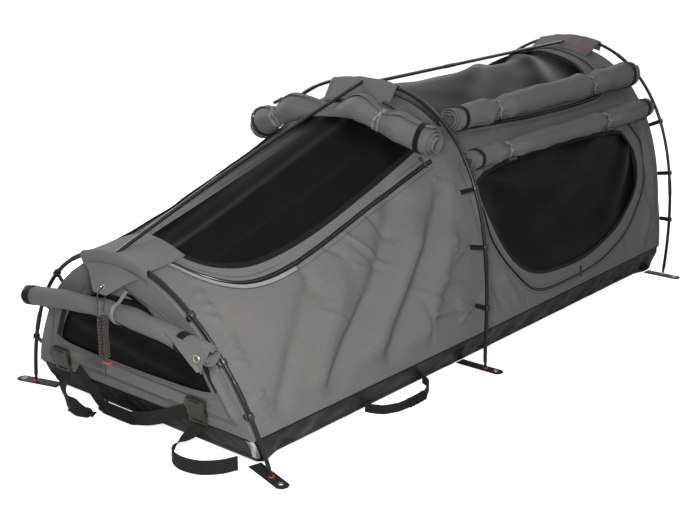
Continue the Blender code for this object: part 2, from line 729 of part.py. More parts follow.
def make_canvas():
    near_foot = make_wall("near_wall_foot", foot, mid, False)
    far_foot = make_wall("far_wall_foot", foot, mid, True)
    near_head = make_wall("near_wall_head", mid, head, False)
    far_head = make_wall("far_wall_head", mid, head, True)

    top_outline = half_outline(TOP_OPENING_SHARES, TOP_OPENING_HALF_WIDTH,
                               FOOT_STATION + TOP_OPENING_START,
                               TOP_OPENING_END - TOP_OPENING_START)
    low, high = FOOT_HOOP_HEIGHT / 2, HEAD_HOOP_HEIGHT + CUT_OVERRUN
    top_cutter = plan_cutter("top_opening_cutter", top_outline, low, high)
    cut(near_foot, top_cutter)
    cut(far_foot, top_cutter)
    skylight_outline = half_outline(SKYLIGHT_SHARES, SKYLIGHT_HALF_WIDTH,
                                    FOOT_STATION + SKYLIGHT_START,
                                    SKYLIGHT_END - SKYLIGHT_START)
    skylight_cutter = plan_cutter("skylight_cutter", skylight_outline, low, high)
    cut(near_head, skylight_cutter)
    cut(far_head, skylight_cutter)
    door_outline = [(FOOT_STATION + DOOR_START + (DOOR_END - DOOR_START) * x,
                     DOOR_SILL + (DOOR_HEAD - DOOR_SILL) * y) for x, y in DOOR_SHARES]
    cut(near_head, side_cutter("door_cutter", door_outline))

    top_mesh = make_mesh_sheet("top_mesh", foot, mid, TOP_MESH_ROWS, top_sag)
    lap = plan_cutter("top_mesh_trim", grown(top_outline, MESH_LAP), low, high)
    cut(top_mesh, lap, "INTERSECT")
    skylight = make_mesh_sheet("skylight_mesh", mid, head, SKYLIGHT_ROWS, skylight_sag)
    lap = plan_cutter("skylight_trim", grown(skylight_outline, MESH_LAP), low, high)
    cut(skylight, lap, "INTERSECT")
    door_mesh = make_mesh_sheet("door_mesh", mid, head, DOOR_MESH_ROWS, door_folds)
    lap = side_cutter("door_trim", grown(door_outline, MESH_LAP))
    cut(door_mesh, lap, "INTERSECT")


def fade(share, edge):
    """0 at both ends of a share, 1 in between."""
    return smooth_step(share / edge) * smooth_step((1 - share) / edge)


def top_sag(run, arch):
    return TOP_MESH_SAG * fade(run, 0.3) * fade(arch, 0.3)


def skylight_sag(run, arch):
    return SKYLIGHT_SAG * fade(run, 0.25) * fade(arch, 0.35)


def door_folds(run, arch):
    fan = 0.5 + 0.5 * math.sin(2 * math.pi * (3 * run - arch))
    return DOOR_MESH_FOLD * fan * fade((run - 0.08) / 0.84, 0.2) * fade((arch - 0.1) / 0.8, 0.25)


def make_mesh_sheet(name, first, last, row_span, sag):
    """Insect mesh on the canvas walls' own grid lines, close behind the canvas."""
    low, high = row_span

    def surface(run, arch, is_back):
        depth = CANVAS + MESH_SEAT + sag(run, arch) + (MESH if is_back else 0.0)
        row = low + (high - low) * arch
        return canvas_point(first, last, run, row / WALL_ROWS, depth)

    return sheet(name, WALL_COLUMNS, high - low, surface, insect_mesh)


def end_outline(hoop, count):
    near = [hoop.canvas(share) for share in np.linspace(0, 1, count)]
    return [(p[0], p[2]) for p in near] + [(-p[0], p[2]) for p in near[-2::-1]]


def plane_frame(hoop, forward):
    """A frame in a hoop's leaning plane: X across, Y up along the lean."""
    lean = math.atan(hoop.lean)
    frame = Matrix.Rotation(math.pi / 2 - lean, 4, "X")
    frame.translation = (0, hoop.station + forward, 0)
    return frame


def on_plane(hoop, outline):
    """Heights of an outline measured along the leaning plane."""
    stretch = math.hypot(1, hoop.lean)
    return [(x, z * stretch) for x, z in outline]


def make_end_panels():
    offset = CANVAS / 2 + TOUCH_GAP / 2
    window_height = FOOT_WINDOW_HEAD - FOOT_WINDOW_SILL
    half = [(FOOT_WINDOW_HALF_WIDTH * x, FOOT_WINDOW_SILL + window_height * y)
            for x, y in FOOT_WINDOW_SHARES]
    window = half + [(-x, z) for x, z in half[::-1]]
    panel = on_plane(foot, end_outline(foot, 15))
    plate("foot_end_panel", [panel, on_plane(foot, window)], CANVAS,
          plane_frame(foot, -offset), canvas_cloth)
    plate("foot_window_mesh", [on_plane(foot, grown(window, MESH_LAP))], MESH,
          plane_frame(foot, TOUCH_GAP / 2 + MESH / 2), insect_mesh)
    plate("head_end_panel", [on_plane(head, end_outline(head, 15))], CANVAS,
          plane_frame(head, offset), canvas_cloth)


def make_hoop(hoop):
    shares = np.linspace(0, 1, LEG_POINTS)
    for t in hoop.clip_shares:
        shares[np.argmin(abs(shares - t))] = t
    tip_share = POLE_TIP_LENGTH / hoop.height / 2
    shares = [0, tip_share, tip_share + CLIP_EASE / hoop.height, *shares[1:]]
    near = []
    thinning = []
    for i, t in enumerate(shares):
        across, height = hoop.at(t)
        near.append(hoop.place(across, height))
        thinning.append(POLE_TIP_DIAMETER / POLE_DIAMETER if i < 2 else 1)
    way = hoop.slope(0)
    tilt = math.hypot(way[0], hoop.lean * way[1])
    near[0][2] += POLE_TIP_DIAMETER / 2 * tilt + TOUCH_GAP
    far = [p * (-1, 1, 1) for p in near[-2::-1]]
    tube(hoop.name + "_hoop", near + far, POLE_DIAMETER, pole_black, 2,
         thinning + thinning[-2::-1])


def ridge_path(first, last):
    """A ridge pole's centre line, bowed between the hoops that carry it."""
    if first is foot:
        start = first.place(0, first.height)
        end = last.place(0, last.height)
        way = unit(end - start)
        square = POLE_RADIUS / abs(way[1]) + POLE_RADIUS * abs(way[2]) + TOUCH_GAP
        start, end, bow = start + way * square, end - way * square, FOOT_RIDGE_BOW
    else:
        drop = POLE_DIAMETER + RIDGE_HOOP_GAP
        start = first.place(0, first.height - drop)
        end = last.place(0, last.height - drop)
        bow = 0
    shares = np.linspace(0, 1, RIDGE_POINTS)
    return [start + (end - start) * s + np.array([0, 0, bow * math.sin(math.pi * s)])
            for s in shares]


def ridge_clearance(name, first, last):
    path = ridge_path(first, last)
    path = [path[0] - unit(path[1] - path[0]) * POLE_DIAMETER, *path,
            path[-1] + unit(path[-1] - path[-2]) * POLE_DIAMETER]
    piece = tube(name, path, POLE_DIAMETER + 2 * RIDGE_HOLE_EASE, pole_black, 2)
    curve = piece.data
    bpy.data.objects.remove(piece, do_unlink=True)
    return as_cutter(curve_mesh(name, curve, pole_black))


def make_sleeve(hoop, foot_reach, head_reach, foot_drop, head_drop, cutters_through):
    """A canvas sleeve saddled over a hoop's crown, tied down to the canvas both ways."""
    rise = POLE_RADIUS + SLEEVE_EASE

    def hoop_share_at(across):
        samples = np.linspace(0, 1, SECTION_SAMPLES)
        widths = np.array([hoop.at(t)[0] for t in samples])
        return float(np.interp(-across, -widths, samples))

    def edge(across, reach, drop, depth):
        """The foot or head edge of the sleeve at a place across the bedroll."""
        if drop > 0:
            t = hoop_share_at(abs(across))
            height = hoop.at(t)[1] - drop
            forward = math.copysign(AWNING_STANDOFF + CANVAS, reach)
            return hoop.place(across, height, forward + math.copysign(CANVAS - depth, reach))
        neighbours = {("foot", 1): (foot, mid), ("mid", -1): (foot, mid),
                      ("mid", 1): (mid, head), ("head", -1): (mid, head)}
        first, last = neighbours[(hoop.name, 1 if reach > 0 else -1)]
        run = (hoop.station + reach - first.station) / (last.station - first.station)
        share = 0.5
        for step in (0.25, 0.125, 0.0625, 0.03125, 0.0156, 0.0078, 0.0039, 0.002):
            share += step if canvas_point(first, last, run, share)[0] > abs(across) else -step
        share = min(share, 1.0)
        point = canvas_point(first, last, run, share, -SLEEVE_SEAT - CANVAS + depth)
        point[0] = across
        return point

    def surface(run, arch, back):
        across = (2 * run - 1) * SLEEVE_HALF_WIDTH
        t = hoop_share_at(abs(across))
        depth = CANVAS if back else 0.0
        base_across, base_height = hoop.at(t)
        lift = rise + CANVAS - depth
        out = hoop.outward(t) * lift
        side = math.copysign(1, across)
        crown = hoop.place(side * (base_across + out[0]), base_height + out[1])
        foot_edge = edge(across, -abs(foot_reach), foot_drop, depth)
        head_edge = edge(across, abs(head_reach), head_drop, depth)
        bend = [foot_edge, None, crown, None, head_edge]
        step = arch * 4
        round_over = np.array([0, lift * 0.9, 0])
        bend[1] = crown - round_over - np.array([0, 0, lift * 0.45])
        bend[3] = crown + round_over - np.array([0, 0, lift * 0.45])
        i = min(int(step), 3)
        return bend[i] + (bend[i + 1] - bend[i]) * (step - i)

    sleeve = sheet(hoop.name + "_sleeve", SLEEVE_POINTS, 4, surface, canvas_cloth)
    for cutter in cutters_through:
        cut(sleeve, cutter)
    return sleeve


def pinch(distance):
    """How far a roll is drawn in near a tie."""
    drawn = smooth_step(abs(distance) / TIE_PINCH_REACH)
    return TIE_PINCH_SHARE + (1 - TIE_PINCH_SHARE) * drawn


def spiral_band(turns, core_share, band_share, count):
    """The outline of a rolled cloth's end, as shares of the roll's radius."""
    angles = np.linspace(0, 2 * math.pi * turns, count)
    radii = core_share + (1 - band_share / 2 - core_share) * angles / angles[-1]
    outer = [((r + band_share / 2) * math.cos(a), (r + band_share / 2) * math.sin(a))
             for r, a in zip(radii, angles)]
    inner = [((r - band_share / 2) * math.cos(a), (r - band_share / 2) * math.sin(a))
             for r, a in zip(radii, angles)]
    return outer + inner[::-1]


def roll_share(angle, turns=ROLL_TURNS):
    """How far the outer layer of a roll stands from its centre, at an angle round it."""
    total = 2 * math.pi * turns
    wound = total - (total - angle) % (2 * math.pi)
    return (ROLL_CORE_SHARE + ROLL_BAND_SHARE / 2
            + (1 - ROLL_BAND_SHARE / 2 - ROLL_CORE_SHARE) * wound / total)


def make_roll(name, stations, turns=ROLL_TURNS, core=ROLL_CORE_SHARE, band=ROLL_BAND_SHARE):
    """A rolled cover through stations of centre, two section axes and their radii."""
    count = int(turns * ROLL_TURN_POINTS) + 1
    outline = spiral_band(turns, core, band, count)
    rings = []
    for centre, axis_a, axis_b in stations:
        rings.append([centre + axis_a * a + axis_b * b for a, b in outline])
    return loft(name, rings, canvas_cloth, smooth=True)


def top_roll_stations():
    """Sections of the roll that lies across the bedroll, under the ridge pole."""
    points = [canvas_point(foot, mid, run, arch) for arch, run in TOP_ROLL_STATION_SHARES]
    centres = []
    sizes = []
    for point, (arch, run) in zip(points, TOP_ROLL_STATION_SHARES):
        normal = canvas_frame(foot, mid, run, arch)[0]
        flat = smooth_step(abs(point[0]) / TOP_ROLL_FLAT_REACH)
        tie_distance = min(np.linalg.norm(point - points[tie]) for tie in TOP_ROLL_TIES)
        full = TOP_ROLL_RADIUS * pinch(tie_distance)
        thick = min(TOP_ROLL_FLAT_HALF + (full - TOP_ROLL_FLAT_HALF) * flat, full)
        centres.append(point + normal * (thick * roll_share(math.pi) + ROLL_REST_GAP))
        sizes.append((normal, thick, full))
    stations = []
    for i, (centre, (normal, thick, full)) in enumerate(zip(centres, sizes)):
        way = unit(centres[min(i + 1, len(centres) - 1)] - centres[max(i - 1, 0)])
        normal = unit(normal - way * np.dot(normal, way))
        stations.append((centre, normal * thick, np.cross(normal, way) * full))
    return stations


def make_top_roll():
    make_roll("top_cover_roll", top_roll_stations())


def side_roll_station(from_foot, share, start, end, radii, ties):
    """Section of a roll that lies along the head section's near side."""
    run = run_between(mid, head, from_foot)
    point = canvas_point(mid, head, run, share)
    normal, along, over = canvas_frame(mid, head, run, share)
    radius = radii[0] + (radii[1] - radii[0]) * (from_foot - start) / (end - start)
    radius *= min(pinch(from_foot - tie) for tie in ties)
    lift = radius * roll_share(math.pi) + ROLL_REST_GAP - FACET_DIP
    return point + normal * lift, normal * radius, over * radius


def make_side_roll(name, share, start, end, radii, ties):
    places = [start, (start + ties[0] - TIE_PINCH_REACH) / 2]
    for tie in ties:
        places += [tie + share * TIE_PINCH_REACH for share in SIDE_ROLL_PINCH_SHARES]
    middle = sum(ties) / 2
    places += [middle, (ties[1] + TIE_PINCH_REACH + end) / 2, end]
    places.sort()
    make_roll(name, [side_roll_station(place, share, start, end, radii, ties)
                     for place in places])


def foot_roll_centre(across):
    height = FOOT_ROLL_HEIGHT - FOOT_ROLL_DROOP * (across / FOOT_ROLL_HALF_LENGTH) ** 2
    pole_share = smooth_step(abs(across) / FOOT_ROLL_HALF_LENGTH)
    standoff = foot_roll_radius(across) + 2 * CANVAS + POLE_RADIUS * pole_share
    return foot.place(across, height, -standoff)


def foot_roll_radius(across):
    drawn = smooth_step(abs(across) / FOOT_ROLL_TIE_REACH)
    return FOOT_ROLL_RADIUS * (FOOT_ROLL_TIE_SHARE + (1 - FOOT_ROLL_TIE_SHARE) * drawn)


def make_foot_roll():
    stations = []
    for across in np.linspace(-FOOT_ROLL_HALF_LENGTH, FOOT_ROLL_HALF_LENGTH, FOOT_ROLL_STATIONS):
        radius = foot_roll_radius(across)
        stations.append((foot_roll_centre(across), np.array([0, radius, 0]),
                         np.array([0, 0, radius])))
    make_roll("foot_window_roll", stations, FOOT_ROLL_TURNS, FOOT_ROLL_CORE_SHARE,
              FOOT_ROLL_BAND_SHARE)


def make_foot_roll_strap():
    """The strap that holds the rolled foot cover up against the end panel."""
    centre = foot_roll_centre(ROLL_STRAP_ACROSS)
    radius = foot_roll_radius(ROLL_STRAP_ACROSS) + ROLL_REST_GAP
    wall = -CANVAS - 2 * TOUCH_GAP
    near = ROLL_STRAP_ACROSS + ROLL_STRAP_WIDTH / 2
    far = ROLL_STRAP_ACROSS - ROLL_STRAP_WIDTH / 2
    outs = [np.array([0, -1.0, 0]), np.array([0, -1.0, 1.0])]
    path = [foot.place(0, ROLL_STRAP_TOP, wall),
            foot.place(0, centre[2] + radius + WEBBING, wall)]
    for angle in np.linspace(math.pi / 3, -math.pi / 2, 8):
        outs.append(np.array([0, -math.cos(angle), math.sin(angle)]))
        path.append(centre + outs[-1] * radius)
    outs.append(np.array([0, 0, -1.0]))
    path.append(foot.place(0, centre[2] - radius, wall))
    rings = []
    for point, out in zip(path, outs):
        outer = point + out * WEBBING
        rings.append([(far, *point[1:]), (near, *point[1:]),
                      (near, *outer[1:]), (far, *outer[1:])])
    loft("foot_roll_strap", rings, webbing_black)


def roll_surface(station, angle):
    """A point of a roll's outer layer, at an angle round its section, and its way out."""
    centre, axis_a, axis_b = station
    out = axis_a * math.cos(angle) + axis_b * math.sin(angle)
    return centre + out * roll_share(angle), unit(out)


def make_toggle(name, station, angle, bar_way):
    """A bar toggle on a short neck, standing off a roll at its tie."""
    base, out = roll_surface(station, angle)
    base = base + out * TOGGLE_SEAT
    centre = base + out * (TOGGLE_NECK_LENGTH + TOGGLE_DIAMETER / 2)
    bar_way = unit(bar_way - out * np.dot(bar_way, out))
    side = np.cross(out, bar_way)
    rings = []
    for place, swell in TOGGLE_PROFILE_SHARES:
        ring_centre = centre + bar_way * TOGGLE_LENGTH * place
        radius = TOGGLE_DIAMETER / 2 * swell
        rings.append([ring_centre + (out * math.cos(a) + side * math.sin(a)) * radius
                      for a in np.linspace(0, 2 * math.pi, 8, endpoint=False)])
    bar = loft(name, rings, moulded_black, smooth=True)
    neck = []
    for point in (base, centre):
        neck.append([point + (bar_way * math.cos(a) + side * math.sin(a))
                     * TOGGLE_NECK_DIAMETER / 2
                     for a in np.linspace(0, 2 * math.pi, 6, endpoint=False)])
    neck = as_cutter(loft(name + "_neck", neck, moulded_black))
    cut(bar, neck, "UNION")
    return base


def make_toggles():
    stations = top_roll_stations()
    for name, i in zip(("near", "far"), TOP_ROLL_TIES):
        roll_way = stations[i + 1][0] - stations[i - 1][0]
        make_toggle("top_toggle_" + name, stations[i], math.radians(TOP_TOGGLE_ANGLE_DEG),
                    roll_way)
    side_angle = math.radians(SIDE_TOGGLE_ANGLE_DEG)
    for i, tie in enumerate(SKYLIGHT_TIES):
        station = side_roll_station(tie, *SKYLIGHT_ROLL)
        make_toggle(f"skylight_toggle_{i + 1}", station, side_angle, np.array([0, 1.0, 0]))
    for i, tie in enumerate(DOOR_TIES):
        station = side_roll_station(tie, *DOOR_ROLL)
        make_toggle(f"door_toggle_{i + 1}", station, side_angle, np.array([0, 1.0, 0]))


def make_hook_clip(hoop, number, t):
    """A snap hook on the pole with its shank reaching in to the canvas."""
    across, height = hoop.at(t)
    reach = CLIP_WIDTH / hoop.height
    near_shares = [np.interp(t + reach * i, hoop.t_table, hoop.share_table) for i in (-1, 0, 1)]
    inset = min(np.interp(near_shares, INSET_STATION_SHARES, hoop.insets))
    inner = POLE_RADIUS + CLIP_EASE
    outer = inner + CLIP_RING_WALL
    mouth = math.asin(CLIP_MOUTH / (inner + outer))
    shoulder = math.asin(CLIP_SHANK / 2 / outer)
    end = inset - CLIP_CANVAS_GAP

    def arc(radius, start, stop, count):
        return [(radius * math.cos(a), radius * math.sin(a))
                for a in np.linspace(start, stop, count)]

    quarter = math.pi / 2
    outline = arc(outer, quarter + mouth, 4 * quarter - shoulder, CLIP_ARC_POINTS)
    outline += [(end, -CLIP_SHANK / 2), (end, CLIP_SHANK / 2)]
    outline += arc(outer, 4 * quarter + shoulder, 5 * quarter - mouth, 3)
    outline += arc(inner, 5 * quarter - mouth, quarter + mouth, CLIP_ARC_POINTS)
    out = hoop.outward(t)
    inward = Vector((-out[0], -hoop.lean * out[1], -out[1]))
    way = hoop.slope(t)
    along = Vector((way[0], hoop.lean * way[1], way[1]))
    frame = frame_of(hoop.place(across, height), inward, along.cross(inward))
    plate(f"{hoop.name}_hook_clip_{number}", [outline], CLIP_WIDTH, frame, moulded_black)


def make_peg_tab(hoop, side):
    """A webbing tab on the ground, eyeleted for a pole's tip and for a peg."""
    pole_across = hoop.cage[0][0]
    turn = math.radians(-FOOT_TAB_TURN_DEG if hoop is foot else 0)
    corner = {"foot": BASE_CORNER, "mid": BASE_WAIST, "head": 0}[hoop.name]
    inner = BASE_WIDTH / 2 - BASE_EDGE_TURN * PEG_TAB_LAP_SHARE - corner - pole_across
    outer = PEG_TAB_END - pole_across
    half = PEG_TAB_WIDTH / 2
    outline = [(inner, -half), (outer - half * 0.6, -half), (outer, -half * 0.45),
               (outer, half * 0.45), (outer - half * 0.6, half), (inner, half)]
    holes = [ring_points((0, 0), POLE_TIP_DIAMETER / 2 + TAB_HOLE_EASE, TAB_HOLE_POINTS),
             ring_points((outer - PEG_HOLE_INSET, 0), PEG_HOLE_DIAMETER / 2, TAB_HOLE_POINTS)]
    outlines = [[(side * x, y) for x, y in points] for points in (outline, *holes)]
    frame = Matrix.Rotation(side * turn, 4, "Z")
    frame.translation = (side * pole_across, hoop.station, PEG_TAB_THICKNESS / 2)
    name = f"{hoop.name}_peg_tab_{'near' if side > 0 else 'far'}"
    plate(name, outlines, PEG_TAB_THICKNESS, frame, webbing_black)


def awning_hinge():
    height = foot.height - SLEEVE_FRONT_DROP - 2 * TOUCH_GAP
    return Vector(foot.place(0, height, -AWNING_STANDOFF - 2 * CANVAS))


def awning_ways():
    lift = math.radians(AWNING_LIFT_DEG)
    down = Vector((0, -math.sin(lift), -math.cos(lift)))
    front = Vector((0, -math.cos(lift), math.sin(lift)))
    return down, front


def eyelet_centre():
    return awning_hinge() + awning_ways()[0] * (AWNING_LENGTH - EYELET_INSET)


def make_awning():
    """The small flap over the foot window, drawn out by its guy."""
    top = []
    samples = np.linspace(0, 1, SECTION_SAMPLES)
    widths = np.array([foot.at(t)[0] for t in samples])
    for share in np.linspace(-1, 1, 9):
        across = share * AWNING_TOP_WIDTH / 2
        t = float(np.interp(-abs(across), -widths, samples))
        top.append((across, foot.at(t)[1] - foot.height - TOUCH_GAP))
    half = AWNING_FOOT_WIDTH / 2
    outline = top + [(half, -AWNING_LENGTH), (-half, -AWNING_LENGTH)]
    hole = ring_points((0, EYELET_INSET - AWNING_LENGTH), EYELET_DIAMETER / 2, TAB_HOLE_POINTS)
    down = awning_ways()[0]
    piece = plate("foot_awning", [outline, hole], CANVAS,
                  frame_of(awning_hinge(), (1, 0, 0), -down), canvas_cloth)
    hinge_at(piece, awning_hinge())


def hank_loop_point(turns):
    """A point on the hank's stadium loops, started half way up the left side."""
    radius = (HANK_WIDTH - CORD_DIAMETER) / 2
    straight = HANK_HEIGHT - HANK_WIDTH
    bend = math.pi * radius
    lap = 2 * straight + 2 * bend
    way = (turns % 1) * lap
    if way < straight / 2:
        across, height = -radius, way
    elif way < straight / 2 + bend:
        angle = math.pi - (way - straight / 2) / radius
        across, height = radius * math.cos(angle), straight / 2 + radius * math.sin(angle)
    elif way < 1.5 * straight + bend:
        across, height = radius, straight / 2 - (way - straight / 2 - bend)
    elif way < 1.5 * straight + 2 * bend:
        angle = -(way - 1.5 * straight - bend) / radius
        across, height = radius * math.cos(angle), -straight / 2 + radius * math.sin(angle)
    else:
        across, height = -radius, way - lap
    waist = 1 - (1 - HANK_WAIST_SHARE) * math.cos(math.pi * height / HANK_HEIGHT) ** 2
    return np.array([across * waist, -turns * HANK_STEP, height])


def hank_origin():
    """The middle of the first loop, nearest to the end panel."""
    return np.array([0, FOOT_STATION + HANK_BACK, HANK_TOP - HANK_HEIGHT / 2])


def hand_run(route, joined):
    """A smooth run through a route's points and the loop point that it joins."""
    points = [np.array([x, FOOT_STATION + y, z]) for x, y, z in route]
    points = [joined, *points] if route is GUY_RISE_ROUTE else [*points, joined]
    padded = [2 * points[0] - points[1], *points, 2 * points[-1] - points[-2]]
    run = []
    for a, b, c, d in zip(padded, padded[1:], padded[2:], padded[3:]):
        run += [b, (9 * (b + c) - a - d) / 16]
    return run + [points[-1]]


def hank_points():
    """The guy from its tail, round the hank's loops, and up through the eyelet."""
    origin = hank_origin()
    laps = np.linspace(0, HANK_LOOPS, HANK_LOOPS * HANK_LOOP_POINTS + 1)
    loops = [origin + hank_loop_point(turns) for turns in laps]
    tail = hand_run(GUY_TAIL_ROUTE, loops[0])[:-1]
    rise = hand_run(GUY_RISE_ROUTE, loops[-1])[1:]
    return np.array(tail + loops + rise)


def least_self_gap(points, diameter):
    """The smallest gap between parts of a cord that aren't neighbours along it."""
    fine = np.vstack([points[:-1] + (points[1:] - points[:-1]) * t for t in (0, 0.25, 0.5, 0.75)])
    order = np.concatenate([np.arange(len(points) - 1) + t for t in (0, 0.25, 0.5, 0.75)])
    fine = fine[np.argsort(order)]
    walked = np.concatenate(([0], np.cumsum(np.linalg.norm(np.diff(fine, axis=0), axis=1))))
    least = 1.0
    for i in range(len(fine)):
        apart = walked > walked[i] + 4 * diameter
        if apart.any():
            least = min(least, float(np.linalg.norm(fine[apart] - fine[i], axis=1).min()))
    return least - diameter


def make_guy():
    points = hank_points()
    tube("guy_hank", [tuple(p) for p in points], CORD_DIAMETER, guy_cord, 1)
    length = float(np.linalg.norm(np.diff(points, axis=0), axis=1).sum())
    gap = least_self_gap(points, CORD_DIAMETER)
    print(f"guy_hank: {length:.3f} m of cord, least gap to itself {gap * 1000:.2f} mm")

    half = RUNNER_SPAN / 2
    depth = RUNNER_DEPTH
    outline = [(-half, -0.1 * depth), (-0.2 * half, -0.6 * depth), (half, 0.0),
               (half, 0.4 * depth), (-0.1 * half, -0.1 * depth), (-half, 0.4 * depth)]
    seat = HANK_TOP - HANK_HEIGHT - RUNNER_LIFT
    tail = points[:2 * len(GUY_TAIL_ROUTE)]
    threaded = tail[np.argmin(abs(tail[:, 2] - seat))]
    frame = frame_of(threaded + (half * RUNNER_BORE_SHARE, 0, 0), (1, 0, 0), (0, 0, 1))
    runner = plate("guy_runner", [outline], RUNNER_THICKNESS, frame, runner_red)
    bore = tube("runner_bore", [tuple(p) for p in tail], CORD_DIAMETER + 2 * RUNNER_EASE,
                runner_red, 1)
    curve = bore.data
    bpy.data.objects.remove(bore, do_unlink=True)
    cut(runner, as_cutter(curve_mesh("runner_bore", curve, runner_red)))


def box(name, size, centre, frame, material):
    """A box from the cube primitive, at its size, placed through a frame."""
    bm = bmesh.new()
    bmesh.ops.create_cube(bm, size=1)
    bmesh.ops.scale(bm, vec=size, verts=bm.verts[:])
    bmesh.ops.translate(bm, vec=centre, verts=bm.verts[:])
    bmesh.ops.transform(bm, matrix=frame, verts=bm.verts[:])
    return mesh_piece(name, bm, material)


def buckle_frame(across):
    """X across, Y up the end panel, Z away from it; origin at the socket's top."""
    standoff = CANVAS + 2 * TOUCH_GAP + BUCKLE_STANDOFF + BUCKLE_DEPTH / 2
    origin = foot.place(across, BUCKLE_TOP, -standoff)
    return frame_of(origin, (1, 0, 0), (0, foot.lean, 1))


def make_buckle(side, across):
    frame = buckle_frame(across)
    socket = box(side + "_buckle_socket", (BUCKLE_WIDTH, SOCKET_LENGTH, BUCKLE_DEPTH),
                 (0, -SOCKET_LENGTH / 2, 0), frame, moulded_black)
    cavity_width = BUCKLE_WIDTH - 2 * BUCKLE_WALL
    cavity_depth = BUCKLE_DEPTH - 2 * BUCKLE_WALL
    bar = SOCKET_LENGTH * 0.26
    cavity = box(side + "_socket_cavity", (cavity_width, SOCKET_LENGTH, cavity_depth),
                 (0, -SOCKET_LENGTH / 2 - bar, 0), frame, moulded_black)
    windows = box(side + "_socket_windows", (BUCKLE_WIDTH + CUT_OVERRUN, SOCKET_LENGTH * 0.30,
                                             cavity_depth * 0.9),
                  (0, -SOCKET_LENGTH * 0.62, 0), frame, moulded_black)
    slot = box(side + "_socket_slot", (STRAP_WIDTH + 4 * TOUCH_GAP, bar * 0.34,
                                       BUCKLE_DEPTH + CUT_OVERRUN),
               (0, -bar * 0.42, 0), frame, moulded_black)
    for cutter in (cavity, windows, slot):
        cut(socket, as_cutter(cutter))

    thick = cavity_depth - 2 * BUCKLE_CLEARANCE
    half = cavity_width / 2 - BUCKLE_CLEARANCE
    wide = BUCKLE_WIDTH / 2
    neck = -SOCKET_LENGTH - TOUCH_GAP
    base = neck - PRONG_BASE_LENGTH
    arm_top = neck + PRONG_TONGUE_LENGTH
    arm = half - PRONG_ARM_WIDTH
    tongue = PRONG_ARM_WIDTH * 0.8
    tongue_top = neck + PRONG_TONGUE_LENGTH * 0.85
    outline = [(-wide, base), (wide, base), (wide, neck), (half, neck), (half, arm_top),
               (arm, arm_top), (arm, neck), (tongue, neck), (tongue, tongue_top),
               (-tongue, tongue_top), (-tongue, neck), (-arm, neck), (-arm, arm_top),
               (-half, arm_top), (-half, neck), (-wide, neck)]
    slot_half = STRAP_WIDTH / 2 + 2 * TOUCH_GAP
    low = base + PRONG_BASE_LENGTH * 0.25
    high = base + PRONG_BASE_LENGTH * 0.50
    hole = [(-slot_half, low), (slot_half, low), (slot_half, high), (-slot_half, high)]
    prong = plate(side + "_buckle_prong", [outline, hole], thick, frame, moulded_black)
    hinge_at(prong, frame.translation)


def buckle_exit(across):
    """The middle of a prong's lower edge, where its webbing leaves."""
    drop = SOCKET_LENGTH + PRONG_BASE_LENGTH + 2 * TOUCH_GAP
    return np.array(buckle_frame(across) @ Vector((0, -drop, 0)))


def band(name, path, widths, thickness, material):
    """Webbing as a loft: each path point with its half width vector."""
    rings = []
    for i, point in enumerate(path):
        way = unit(path[min(i + 1, len(path) - 1)] - path[max(i - 1, 0)])
        wide = widths[i] - way * np.dot(widths[i], way)
        wide = unit(wide) * np.linalg.norm(widths[i])
        thin = unit(np.cross(way, wide)) * thickness / 2
        low = point[2] - abs(wide[2]) - abs(thin[2])
        point = point + np.array([0, 0, max(TOUCH_GAP - low, 0)])
        rings.append([point + wide + thin, point - wide + thin,
                      point - wide - thin, point + wide - thin])
    return loft(name, rings, material)


def make_straps():
    """The two webbing straps that trail from the foot buckles."""
    half = STRAP_WIDTH / 2
    edge_up = np.array([0, 0, half])
    across_way = np.array([half, 0, 0])
    flat = np.array([0, half, 0])
    for name, across, route in (("left_strap", LEFT_BUCKLE_ACROSS, LEFT_STRAP_ROUTE),
                                ("right_strap", RIGHT_BUCKLE_ACROSS, RIGHT_STRAP_ROUTE)):
        exit_point = buckle_exit(across)
        down = np.array([0, -foot.lean, -1.0]) * STRAP_WIDTH / 3
        points = [exit_point + down]
        points += [np.array((x, FOOT_STATION + y, z)) for x, y, z, *_ in route]
        path = smooth_path(points, STRAP_POINTS)
        turns = smooth_path([(0, 0, 0)] + [(twist, lay, 0) for *_, twist, lay in route],
                            STRAP_POINTS)
        widths = [across_way]
        for twist, lay, _ in turns:
            wide = across_way * (1 - twist) + edge_up * twist * (1 - lay) + flat * lay
            widths.append(unit(wide) * half)
        band(name, [exit_point, *path], widths, WEBBING, webbing_black)


def strap_ring(centre, wide, thin, share):
    """Eight points round a strap's section, from flat (share 0) to round (1)."""
    points = []
    for a in np.linspace(0, 2 * math.pi, 8, endpoint=False) + math.pi / 8:
        x, y = math.cos(a), math.sin(a)
        corner = max(abs(x), abs(y))
        x = x / corner * (1 - share) + x * share
        y = y / corner * (1 - share) + y * share
        points.append(centre + wide * x + thin * y)
    return points


def handle_loft(name, path, grip_from, grip_to, strap_width, grip_radius, wide_ways):
    rings = []
    count = len(path)
    for i, point in enumerate(path):
        way = unit(path[min(i + 1, count - 1)] - path[max(i - 1, 0)])
        wide = unit(wide_ways[i] - way * np.dot(wide_ways[i], way))
        thin = np.cross(way, wide)
        gripped = 1.0 if grip_from <= i <= grip_to else 0.0
        half = strap_width / 2 * (1 - gripped) + grip_radius * gripped
        thick = WEBBING / 2 * (1 - gripped) + grip_radius * gripped
        rings.append(strap_ring(point, wide * half, thin * thick, gripped))
    return loft(name, rings, webbing_black)


